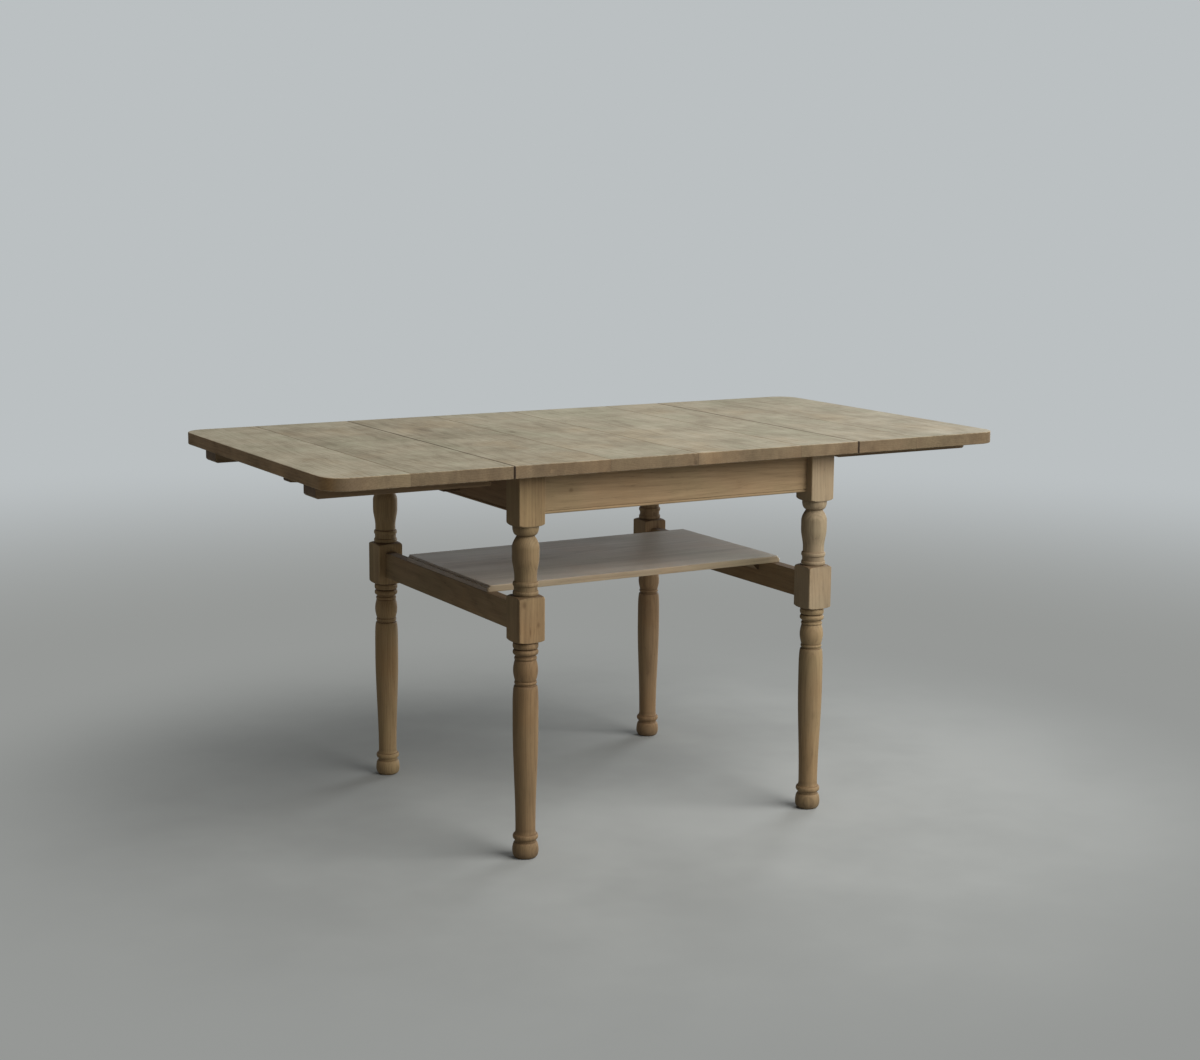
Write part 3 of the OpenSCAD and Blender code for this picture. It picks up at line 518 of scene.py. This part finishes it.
# Pieces made from the CAD solids
SAME_POINT = 1e-6           # points this near are welded
FLAT_ANGLE = 0.2            # degrees between faces that are joined to one
ARRIS_ANGLE = 40            # degrees between the faces of an edge that is rounded
SMOOTH_ANGLE = 35           # degrees between faces that are shaded as one
LEG_SMOOTH_ANGLE = 32
FLAT_WEIGHT = 90            # over 50, large faces lead the shading of their corners
NEAR = 0.00005              # metres within which two places are the same
NEAR_CORNER = 0.0003        # and on a round corner, which is made of short edges
NEAR_SIDE = 0.003           # and at the ends of a seam, after the rim is rounded
SHORTEST_SEAM = 0.01        # an upright edge of a seam is longer than this


def add_piece(name, mesh, node, material):
    o = bpy.data.objects.new(name, mesh)
    bpy.context.scene.collection.objects.link(o)
    mesh.materials.clear()
    mesh.materials.append(material)
    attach(o, node_body[node])
    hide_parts(node)
    return o


def smooth(mesh, angle=SMOOTH_ANGLE):
    for face in mesh.polygons:
        face.use_smooth = True
    mesh.set_sharp_from_angle(angle=math.radians(angle))


def flat_faces(piece):
    """Keeps the shading of large faces flat up to their rounded edges."""
    modifier = piece.modifiers.new("flat_faces", "WEIGHTED_NORMAL")
    modifier.keep_sharp = True
    modifier.weight = FLAT_WEIGHT


def worn_copy(node, material, *passes):
    """The node's solid with rounded arrises. A pass is which edges, their width and segments."""
    solid = bmesh.new()
    solid.from_mesh(nodes[node].data)
    bmesh.ops.remove_doubles(solid, verts=solid.verts, dist=SAME_POINT)
    bmesh.ops.dissolve_limit(solid, angle_limit=math.radians(FLAT_ANGLE), verts=solid.verts,
                             edges=solid.edges)
    for picked, width, segments in passes:
        edges = [edge for edge in solid.edges if len(edge.link_faces) == 2 and edge.is_convex
                 and edge.calc_face_angle() > math.radians(ARRIS_ANGLE) and picked(edge)]
        if edges:
            bmesh.ops.bevel(solid, geom=edges, offset=width, segments=segments, profile=0.5,
                            affect="EDGES", clamp_overlap=False)
    mesh = bpy.data.meshes.new(node + "_wood")
    solid.to_mesh(mesh)
    solid.free()
    old_normals = mesh.attributes.get("custom_normal")
    if old_normals:
        mesh.attributes.remove(old_normals)
    smooth(mesh)
    flat_faces(add_piece(node + "_wood", mesh, node, material))


def longer(length):
    return lambda edge: edge.calc_length() > length


def near(a, b, room=NEAR):
    return abs(a - b) < room


def on_rim(point):
    """Whether a point lies on the outline of the whole top."""
    x, y = abs(point.co.x), abs(point.co.y)
    if near(y, HALF_W) or near(x, LEAF_END):
        return True
    corner_x, corner_y = LEAF_END - CORNER_R, HALF_W - CORNER_R
    in_corner = x > corner_x and y > corner_y
    return in_corner and near(math.hypot(x - corner_x, y - corner_y), CORNER_R, NEAR_CORNER)


def rim_edge(edge):
    """Whether an edge runs along the top's outline, above or below."""
    a, b = edge.verts
    return on_rim(a) and on_rim(b) and near(a.co.z, b.co.z) and (
        near(a.co.z, TABLE_H) or near(a.co.z, UNDER_Z))


def at_seam(point):
    return near(abs(point.co.x), SEAM_X) or near(abs(point.co.x), LEAF_X)


def seam_edge(edge):
    """Whether an edge is the upper one or an upright one of the seam beside a leaf."""
    a, b = edge.verts
    if not (at_seam(a) and at_seam(b)):
        return False
    level = near(a.co.z, TABLE_H) and near(b.co.z, TABLE_H)
    upright = near(abs(a.co.y), HALF_W, NEAR_SIDE) and near(abs(b.co.y), HALF_W, NEAR_SIDE)
    return level or (upright and edge.calc_length() > SHORTEST_SEAM)


def stacked(name, rings, angle=SMOOTH_ANGLE):
    """A closed mesh through rings of points, the lowest first."""
    solid = bmesh.new()
    rings = [[solid.verts.new(point) for point in ring] for ring in rings]
    count = len(rings[0])
    for low, high in zip(rings, rings[1:]):
        for here in range(count):
            after = (here + 1) % count
            solid.faces.new((low[here], low[after], high[after], high[here]))
    solid.faces.new(rings[0][::-1])
    solid.faces.new(rings[-1])
    mesh = bpy.data.meshes.new(name)
    solid.to_mesh(mesh)
    solid.free()
    smooth(mesh, angle)
    return mesh


# The profile of the turned legs: radii and heights in millimetres
def quarter(z0, r0, z1, r1, opening, steps=8):
    """A quarter ellipse: opening leaves r0 sideways and ends upright, else it starts upright."""
    points = []
    for step in range(steps + 1):
        angle = math.pi / 2 * step / steps
        if opening:
            points.append((r0 + (r1 - r0) * math.sin(angle), z1 - (z1 - z0) * math.cos(angle)))
        else:
            points.append((r1 + (r0 - r1) * math.cos(angle), z0 + (z1 - z0) * math.sin(angle)))
    return points


def bead(z0, z1, r_in, r_out, steps=10):
    """Half an ellipse from r_in out to r_out and back."""
    return [(r_in + (r_out - r_in) * math.sin(math.pi * step / steps),
             (z0 + z1) / 2 - (z1 - z0) / 2 * math.cos(math.pi * step / steps))
            for step in range(steps + 1)]


def wave(z0, z1, shape, steps):
    """A radius that a function gives for each share of the way up."""
    return [(shape(step / steps), z0 + (z1 - z0) * step / steps) for step in range(steps + 1)]


def s_curve(z0, r0, z1, r1, steps=16):
    return wave(z0, z1, lambda t: r0 + (r1 - r0) * (1 - math.cos(math.pi * t)) / 2, steps)


def leg_profile():
    """The leg from the floor up. A block's radius reaches past its square, which cuts it off."""
    shoulder, block = 25.5, 39
    # Foot and collar
    points = quarter(0, 17, 13, 24.2, True) + quarter(13, 24.2, 30, 19.2, False)
    points += bead(34.5, 45.5, 19.7, 23.4) + [(18.4, 51)]
    # Long vase
    points += s_curve(54, 18.4, 253, 23.5, 24) + quarter(285, 23.5, 321, 20.8, False, 10)
    # Rings under the lower block
    points += [(18.8, 322)] + bead(324, 330, 18.8, 20.6)
    points += wave(332, 368, lambda t: 19.8 + 2.9 * math.sin(math.pi * t), 14)
    points += bead(369, 375, 18.8, 20.6) + bead(378, 389, 18.8, 23.4) + bead(390, 401, 21.4, 23.4)
    # Lower block
    points += quarter(403, shoulder, 411, block, True) + quarter(478, block, 486, shoulder, False)
    # Rings and short vase
    points += bead(487, 495.5, 21.4, 23.4) + bead(503.5, 512, 21.4, 23.4) + [(20.5, 513)]
    points += s_curve(521, 20.5, 557, 24.8)
    points += wave(573, 594, lambda t: 16.3 + 8.5 * math.cos(math.pi / 2 * t), 12)
    points += quarter(595, 16.3, 610, 24, True, 10) + [(24, 612)]
    # Upper block
    return points + quarter(613, shoulder, 623, block, True) + [(block, 706.2), (block, 707)]


def soft_min(a, b, blend):
    """The lesser of two numbers, rounded where they are nearer than the blend."""
    share = max(blend - abs(a - b), 0) / blend
    return min(a, b) - share * share * blend / 4


def square_reach(angle, half, corner):
    """Distance from the middle of a square with round corners to its side, at an angle."""
    cos, sin = abs(math.cos(angle)), abs(math.sin(angle))
    reach = half / max(cos, sin)
    inner = half - corner
    if min(cos, sin) * reach > inner:
        # On the round corner
        to_centre = inner * (cos + sin)
        reach = to_centre + math.sqrt(max(to_centre ** 2 - 2 * inner ** 2 + corner ** 2, 0))
    return reach


LEG_BLEND = 1.0             # millimetres over which turning and square meet
LEG_UNEVEN = 0.12           # half of how far the lathe left it uneven, in millimetres
LEG_UNEVEN_ROUND = 3        # noise scale around the leg
LEG_UNEVEN_HEIGHT = 45      # millimetres of height to one unit of the noise
OFF_CORNER = (0, 1.2, 2.4, 3.6, 4.8, 7, 11, 17, 24, 32, 39.5)   # degrees from a block's corner


def leg_mesh(name, centre_x, centre_y, seed):
    degrees = sorted({round(corner + side * off, 3) % 360 for corner in (45, 135, 225, 315)
                      for side in (-1, 1) for off in OFF_CORNER} | {0.0, 90.0, 180.0, 270.0})
    rings = []
    for turned, z in leg_profile():
        ring = []
        for angle in map(math.radians, degrees):
            cos, sin = math.cos(angle), math.sin(angle)
            uneven = noise.noise(Vector((cos * LEG_UNEVEN_ROUND, sin * LEG_UNEVEN_ROUND,
                                         z / LEG_UNEVEN_HEIGHT + seed)))
            radius = soft_min(turned, square_reach(angle, BLOCK_HALF, BLOCK_CORNER), LEG_BLEND)
            radius -= LEG_UNEVEN + LEG_UNEVEN * uneven
            ring.append((centre_x + radius * MM * cos, centre_y + radius * MM * sin, z * MM))
        rings.append(ring)
    return stacked(name, rings, LEG_SMOOTH_ANGLE)


# The shelf in millimetres
SHELF_HALF_X, SHELF_HALF_Y = 326, 178
SHELF_UNDER = 469
SHELF_CORNER = 5
SHELF_CORNER_STEPS, SHELF_CORNER_TURN = 6, 15       # turns in degrees
# The moulded edge from the underside up: height, then how far in from the ends and from the sides.
# A step and a rounded nose run along both ends.
SHELF_EDGE = ((0, 1.2, 1.2), (0.35, 0.35, 0.35), (1.2, 0, 0), (5.6, 0, 0), (6.9, 0.3, 0), (7.9, 0.9, 0),
              (8.6, 1.9, 0), (8.8, 2.9, 0), (8.9, 4.0, 0), (9.1, 4.3, 0), (11.4, 4.4, 0), (12.3, 4.7, 0.3),
              (12.8, 5.3, 1.0), (13, 6.6, 2.0))


def shelf_mesh(name):
    rings = []
    for z, in_x, in_y in SHELF_EDGE:
        radius = SHELF_CORNER - min(in_x, in_y)
        centre_x, centre_y = SHELF_HALF_X - in_x - radius, SHELF_HALF_Y - in_y - radius
        ring = []
        for corner, (side_x, side_y) in enumerate(((1, 1), (-1, 1), (-1, -1), (1, -1))):
            for step in range(SHELF_CORNER_STEPS + 1):
                angle = math.radians(90 * corner + SHELF_CORNER_TURN * step)
                x = side_x * centre_x + radius * math.cos(angle)
                y = side_y * centre_y + radius * math.sin(angle)
                ring.append((x * MM, y * MM, (SHELF_UNDER + z) * MM))
        rings.append(ring)
    return stacked(name, rings)


make_camera()

# Marks of the pieces, as Oak.spot takes them, in metres
SPOTS = {
    "left_inner_board": (
        (-0.545, -0.02, 0.40, 0.022, 0.35),
        (-0.40, 0.16, 0.12, 0.03, 0.25),
    ),
    "left_outer_board": (
        (-0.60, 0.20, 0.10, 0.03, -0.2),
    ),
    "centre_board_1": (
        (-0.293, 0.162, 0.035, 0.014, 0.5),
        (-0.31, 0.12, 0.14, 0.04, 0.3),
        (-0.33, 0.25, 0.09, 0.035, 0.25),
        (-0.295, 0.717, 0.006, 0.006, -0.9, "XZ"),
    ),
    "centre_board_2": (
        (-0.153, 0.056, 0.014, 0.007, 0.75),
        (-0.153, 0.06, 0.05, 0.02, 0.2),
        (0.001, 0.713, 0.012, 0.007, 0.6, "XZ"),
    ),
    "centre_board_3": (
        (0.135, 0.15, 0.10, 0.014, -0.2),
        (0.02, 0.248, 0.06, 0.025, -0.2),
        (0.028, -0.3675, 0.02, 0.044, -0.8),
    ),
    "leg_front_left": (
        (-0.318, 0.423, 0.016, 0.0022, 0.9),
        (-0.330, 0.474, 0.009, 0.006, 0.7),
        (-0.302, 0.435, 0.008, 0.005, 0.6),
        (-0.316, 0.25, 0.05, 0.013, 0.17),
        (-0.309, 0.12, 0.04, 0.011, 0.15),
        (-0.312, 0.35, 0.02, 0.012, 0.16),
    ),
    "leg_front_right": (
        # A paler, greyer patch over the leg's upper part: a painted sheen
        (0.314, 0.60, 0.22, 0.12, -0.4),
        (0.317, 0.255, 0.045, 0.014, 0.2),
        (0.308, 0.19, 0.012, 0.007, 0.22),
        (0.316, 0.105, 0.04, 0.013, 0.18),
        (0.312, 0.345, 0.02, 0.012, 0.15),
        (0.314, 0.014, 0.012, 0.02, 0.15),
    ),
    "apron_front": (
        (0.671, -0.227, 0.007, 0.006, 0.6, "ZX"),
        (0.671, -0.227, 0.05, 0.016, 0.25, "ZX"),
    ),
}

# The boards of the top
BOARDS = (
    # node, seed, pith, how much paler than the others
    ("left_outer_board", 1.3, (-0.60, 0.60), 0.03),
    ("left_inner_board", 2.9, (-0.44, 0.95), -0.12),
    ("centre_board_1", 4.1, (-0.30, 0.55), -0.15),
    ("centre_board_2", 5.7, (-0.07, 0.98), -0.04),
    ("centre_board_3", 7.2, (0.13, 0.50), 0.06),
    ("centre_board_4", 8.8, (0.31, 0.93), 0.02),
    ("right_inner_board", 10.4, (0.42, 0.56), -0.08),
    ("right_outer_board", 12.1, (0.62, 0.97), -0.08),
)
BOARD_RING, BOARD_LEAN = 0.0042, 0.014
BOARD_ROUGH = (0.76, 0.66)
RIM_PASS = (rim_edge, 0.0016, 3)
SEAM_PASS = (seam_edge, 0.0007, 2)
# Dark joint lines, as Oak.joint takes them: the leaves' seams, with painted shade, then the glued joints,
# with dirt
JOINTS = ((-0.3685, 0.0030, 0.9), (0.3685, 0.0030, 0.9), (-0.565, 0.0010, 0.10),
          (-0.176, 0.0010, 0.08), (0.008, 0.0010, 0.12), (0.236, 0.0010, 0.12), (0.507, 0.0010, 0.10))
JOINT_ROOM = 0.002          # how far past a board's end a joint may still be its own

for node, seed, pith, pale in BOARDS:
    xs = [point.co.x for point in nodes[node].data.vertices]
    lines = [line for line in JOINTS if min(xs) - JOINT_ROOM < line[0] < max(xs) + JOINT_ROOM]
    material = wood(node, "Y", seed, EDGE, pith, BOARD_RING, BOARD_LEAN, TOP, TOP_END, TOP_UP, TOP_WORN,
                    spots=SPOTS.get(node, ()), lines=lines, pale=pale, rough=BOARD_ROUGH, level=True)
    worn_copy(node, material, RIM_PASS, SEAM_PASS)

# Legs
# Painted shade in the grooves of the turnings: height and half height in millimetres, how dark,
# and whether plain wood follows above
GROOVES = ((32, 4, 0.8, True), (52, 5, 0.85, True), (322, 6, 0.84, False), (331, 3.5, 0.9, True),
           (369, 3.5, 0.9, False), (377, 4, 0.86, False), (389.5, 2.5, 0.88, False),
           (402, 3, 0.85, True), (486.5, 3, 0.78, False), (499.5, 6, 0.88, True),
           (594, 6, 0.9, True), (612.5, 3, 0.78, True))
# How dark a leg is at the floor, up to the first groove
FOOT_DARKNESS = 0.6
LEGS = (
    # node, side, front or back, seed, colours, tints of the upper and the lower turnings
    ("leg_front_left", -1, -1, 20.3, FRAME, (0.86, 0.88, 0.90), (0.86, 0.85, 0.84)),
    ("leg_front_right", 1, -1, 24.0, (srgb(155, 136, 108), srgb(104, 88, 68)), UNTINTED,
     (0.96, 0.88, 0.73)),
    ("leg_back_left", -1, 1, 27.7, (srgb(170, 142, 102), srgb(113, 90, 61)), UNTINTED, UNTINTED),
    ("leg_back_right", 1, 1, 31.4, (srgb(156, 129, 94), srgb(104, 82, 58)), UNTINTED, UNTINTED),
)
LEG_RING, LEG_LEAN = 0.0032, 0.01
LEG_PITH_OUT, LEG_PITH_BACK = 0.03, 0.05            # from the leg's own middle
LEG_UNEVEN_SEED = 7.0


def leg_bands(upper, lower):
    """A leg's tints by height, with painted shade in the grooves and darker at the floor: 32 stops, a
    ramp's most.
    """
    stops = [(0, FOOT_DARKNESS)]
    for z, half, shade, closed in GROOVES:
        stops += [(z - half, 1.0), (z, shade)]
        if closed:
            stops.append((z + half, 1.0))
    bands = []
    for z, shade in stops:
        if LOW_BLOCK[0] <= z <= LOW_BLOCK[1] or z >= HIGH_BLOCK:
            tint = UNTINTED
        else:
            tint = lower if z < LOW_BLOCK[0] else upper
        bands.append((z / TABLE_MM, times_each(tint, (shade, shade, shade))))
    return bands


for number, (node, side_x, side_y, seed, colors, upper, lower) in enumerate(LEGS):
    x, y = side_x * LEG_X, side_y * LEG_Y
    pith = (side_x * (LEG_X + LEG_PITH_OUT), y + LEG_PITH_BACK)
    material = wood(node, "Z", seed, colors, pith, LEG_RING, LEG_LEAN, spots=SPOTS.get(node, ()),
                    bands=leg_bands(upper, lower))
    add_piece(node + "_wood", leg_mesh(node + "_wood", x, y, LEG_UNEVEN_SEED * number), node, material)

# Aprons and side rails
FRAME_RING, FRAME_LEAN = 0.0030, 0.02
LONG_EDGE = longer(0.1)

# The front and back aprons take the lighter copy of the frame wood, painted light, and the end aprons the
# darker copy, painted shade
for node, axis, seed, colors, pith in (
        ("apron_front", "X", 40.1, APRON_LIT, (-0.38, 0.66)),
        ("apron_back", "X", 43.0, APRON_LIT, (0.36, 0.69)),
        ("apron_left", "Y", 45.9, SIDE_APRON_SHADED, (-0.40, 0.68)),
        ("apron_right", "Y", 48.8, SIDE_APRON_SHADED, (0.37, 0.65))):
    material = wood(node, axis, seed, colors, pith, FRAME_RING, FRAME_LEAN, CALM,
                    spots=SPOTS.get(node, ()))
    worn_copy(node, material, (LONG_EDGE, 0.0004, 2))

# The rails' tops take darker, greyer colours: painted shade
for node, seed in (("rail_left", 55.1), ("rail_right", 59.4)):
    material = wood(node, "Y", seed, FRAME, (0.42, 0.40), FRAME_RING, FRAME_LEAN, CALM, up=RAIL_UP_SHADED)
    worn_copy(node, material, (LONG_EDGE, 0.0012, 2))

# Shelf
# Its top is painted paler: partly painted light under the table top
material = wood("shelf", "X", 63.7, SHELF, (0.05, 0.40), 0.0036, 0.015, PLAIN, SHELF_END, SHELF_UP,
                SHELF_WORN, rough=(0.52, 0.42), gloss=0.6)
flat_faces(add_piece("shelf_wood", shelf_mesh("shelf_wood"), "shelf", material))

# Pieces that are hidden or nearly so
HIDDEN_PIECES = (
    # node, way of the grain, seed, pith, ring, lean, shortest edge that is rounded, and how far
    ("shelf_blocks", "Y", 66.1, (0.0, -0.05), 0.0035, 0.012, 0.005, 0.0008),
    ("left_batten_front", "X", 70.3, (-0.2, 0.62), 0.0032, 0.02, 0.0045, 0.0008),
    ("left_batten_back", "X", 73.4, (-0.1, 0.62), 0.0032, 0.02, 0.0045, 0.0008),
    ("right_batten_front", "X", 76.5, (0.0, 0.62), 0.0032, 0.02, 0.0045, 0.0008),
    ("right_batten_back", "X", 79.6, (0.1, 0.62), 0.0032, 0.02, 0.0045, 0.0008),
    ("left_prop", "X", 90.3, (0.05, 0.60), 0.0030, 0.02, 0.02, 0.001),
    ("right_prop", "X", 92.6, (0.05, 0.60), 0.0030, 0.02, 0.02, 0.001),
    ("left_prop_block", "Y", 94.9, (0.05, 0.60), 0.0030, 0.02, 0.0055, 0.0008),
    ("right_prop_block", "Y", 97.2, (0.05, 0.60), 0.0030, 0.02, 0.0055, 0.0008),
    ("left_catch", "X", 99.5, (0.05, 0.60), 0.0030, 0.02, 0.0055, 0.0005),
    ("right_catch", "X", 101.8, (0.05, 0.60), 0.0030, 0.02, 0.0055, 0.0005),
    ("top_buttons", "X", 104.1, (0.05, 0.60), 0.0030, 0.02, 0.0055, 0.0005),
)

for node, axis, seed, pith, ring, lean, shortest, width in HIDDEN_PIECES:
    material = wood(node, axis, seed, HIDDEN, pith, ring, lean)
    worn_copy(node, material, (longer(shortest), width, 2))

# All that is iron keeps its CAD mesh
old_iron = iron("old_iron", IRON_SEED)
for node, solid in nodes.items():
    if node_slot[node] == "iron":
        solid.data.materials.clear()
        solid.data.materials.append(old_iron)

# Floor, backdrop and light
FLOOR_HALF = 30
FLOOR_ROUGH = 0.8
CLOUD_SCALE = 1.6
# Metres from the middle where the lit floor passes into a plain colour, and that into the backdrop's
PLAIN_START, PLAIN_FULL = 0.5, 1.5
BACKDROP_START, BACKDROP_FULL = 1.8, 5.0
LIGHTS = (
    # name, place, what it faces, watts, size, colour
    ("key", (2.42, -3.87, 3.85), (0, 0, 0.6), 452, 4.8, (1.0, 0.99, 0.97)),
    ("side", (4.2, 2.2, 1.3), (0, 0, 0.5), 100, 2.0, (0.93, 0.97, 1.0)),
)


def seen(tree):
    """1 for what the camera sees, and what gloss shows."""
    path = tree.nodes.new("ShaderNodeLightPath")
    most = tree.nodes.new("ShaderNodeMath")
    most.operation = "MAXIMUM"
    tree.links.new(path.outputs["Is Camera Ray"], most.inputs[0])
    tree.links.new(path.outputs["Is Glossy Ray"], most.inputs[1])
    return most.outputs[0]


def make_floor():
    mesh = bpy.data.meshes.new("floor")
    corners = [(x * FLOOR_HALF, y * FLOOR_HALF, 0) for x, y in ((-1, -1), (1, -1), (1, 1), (-1, 1))]
    mesh.from_pydata(corners, [], [(0, 1, 2, 3)])
    o = bpy.data.objects.new("floor", mesh)
    bpy.context.scene.collection.objects.link(o)
    net = Net("floor")
    cloud = net.noise(net.scale(net.place, CLOUD_SCALE), 4.0, 0.6)
    net.finish(net.mix(net.step(cloud, 0.3, 0.7), FLOOR_DARK, FLOOR_LIGHT), FLOOR_ROUGH)
    x, y, _ = net.split(net.place)
    out = net.length(x, y)
    to_backdrop = net.step(out, BACKDROP_START, BACKDROP_FULL)
    glow = net.tree.nodes.new("ShaderNodeEmission")
    net.feed(glow.inputs["Color"], net.mix(to_backdrop, FLOOR_FAR, BACKDROP))
    blend = net.tree.nodes.new("ShaderNodeMixShader")
    net.feed(blend.inputs[0], net.times(net.step(out, PLAIN_START, PLAIN_FULL), seen(net.tree)))
    net.feed(blend.inputs[1], net.surface.outputs[0])
    net.feed(blend.inputs[2], glow.outputs[0])
    net.feed(net.tree.nodes["Material Output"].inputs[0], blend.outputs[0])
    mesh.materials.append(net.material)


def make_world():
    """A pale glow on the object, and the backdrop where the world itself is seen."""
    world = bpy.data.worlds.new("world")
    bpy.context.scene.world = world
    world.use_nodes = True
    tree = world.node_tree
    lighting = tree.nodes["Background"]
    lighting.inputs["Color"].default_value = WORLD
    lighting.inputs["Strength"].default_value = WORLD_STRENGTH
    shown = tree.nodes.new("ShaderNodeBackground")
    shown.inputs["Color"].default_value = BACKDROP
    mix = tree.nodes.new("ShaderNodeMixShader")
    tree.links.new(seen(tree), mix.inputs[0])
    tree.links.new(lighting.outputs[0], mix.inputs[1])
    tree.links.new(shown.outputs[0], mix.inputs[2])
    tree.links.new(mix.outputs[0], tree.nodes["World Output"].inputs[0])


def area_light(name, place, towards, watts, size, color):
    light = bpy.data.objects.new(name, bpy.data.lights.new(name, "AREA"))
    bpy.context.scene.collection.objects.link(light)
    light.location = place
    light.rotation_euler = (Vector(towards) - Vector(place)).to_track_quat("-Z", "Y").to_euler()
    light.data.energy = watts
    light.data.size = size
    light.data.color = color
    light.visible_camera = False


make_floor()
make_world()
for light in LIGHTS:
    area_light(*light)
bpy.context.scene.view_settings.view_transform = "Standard"
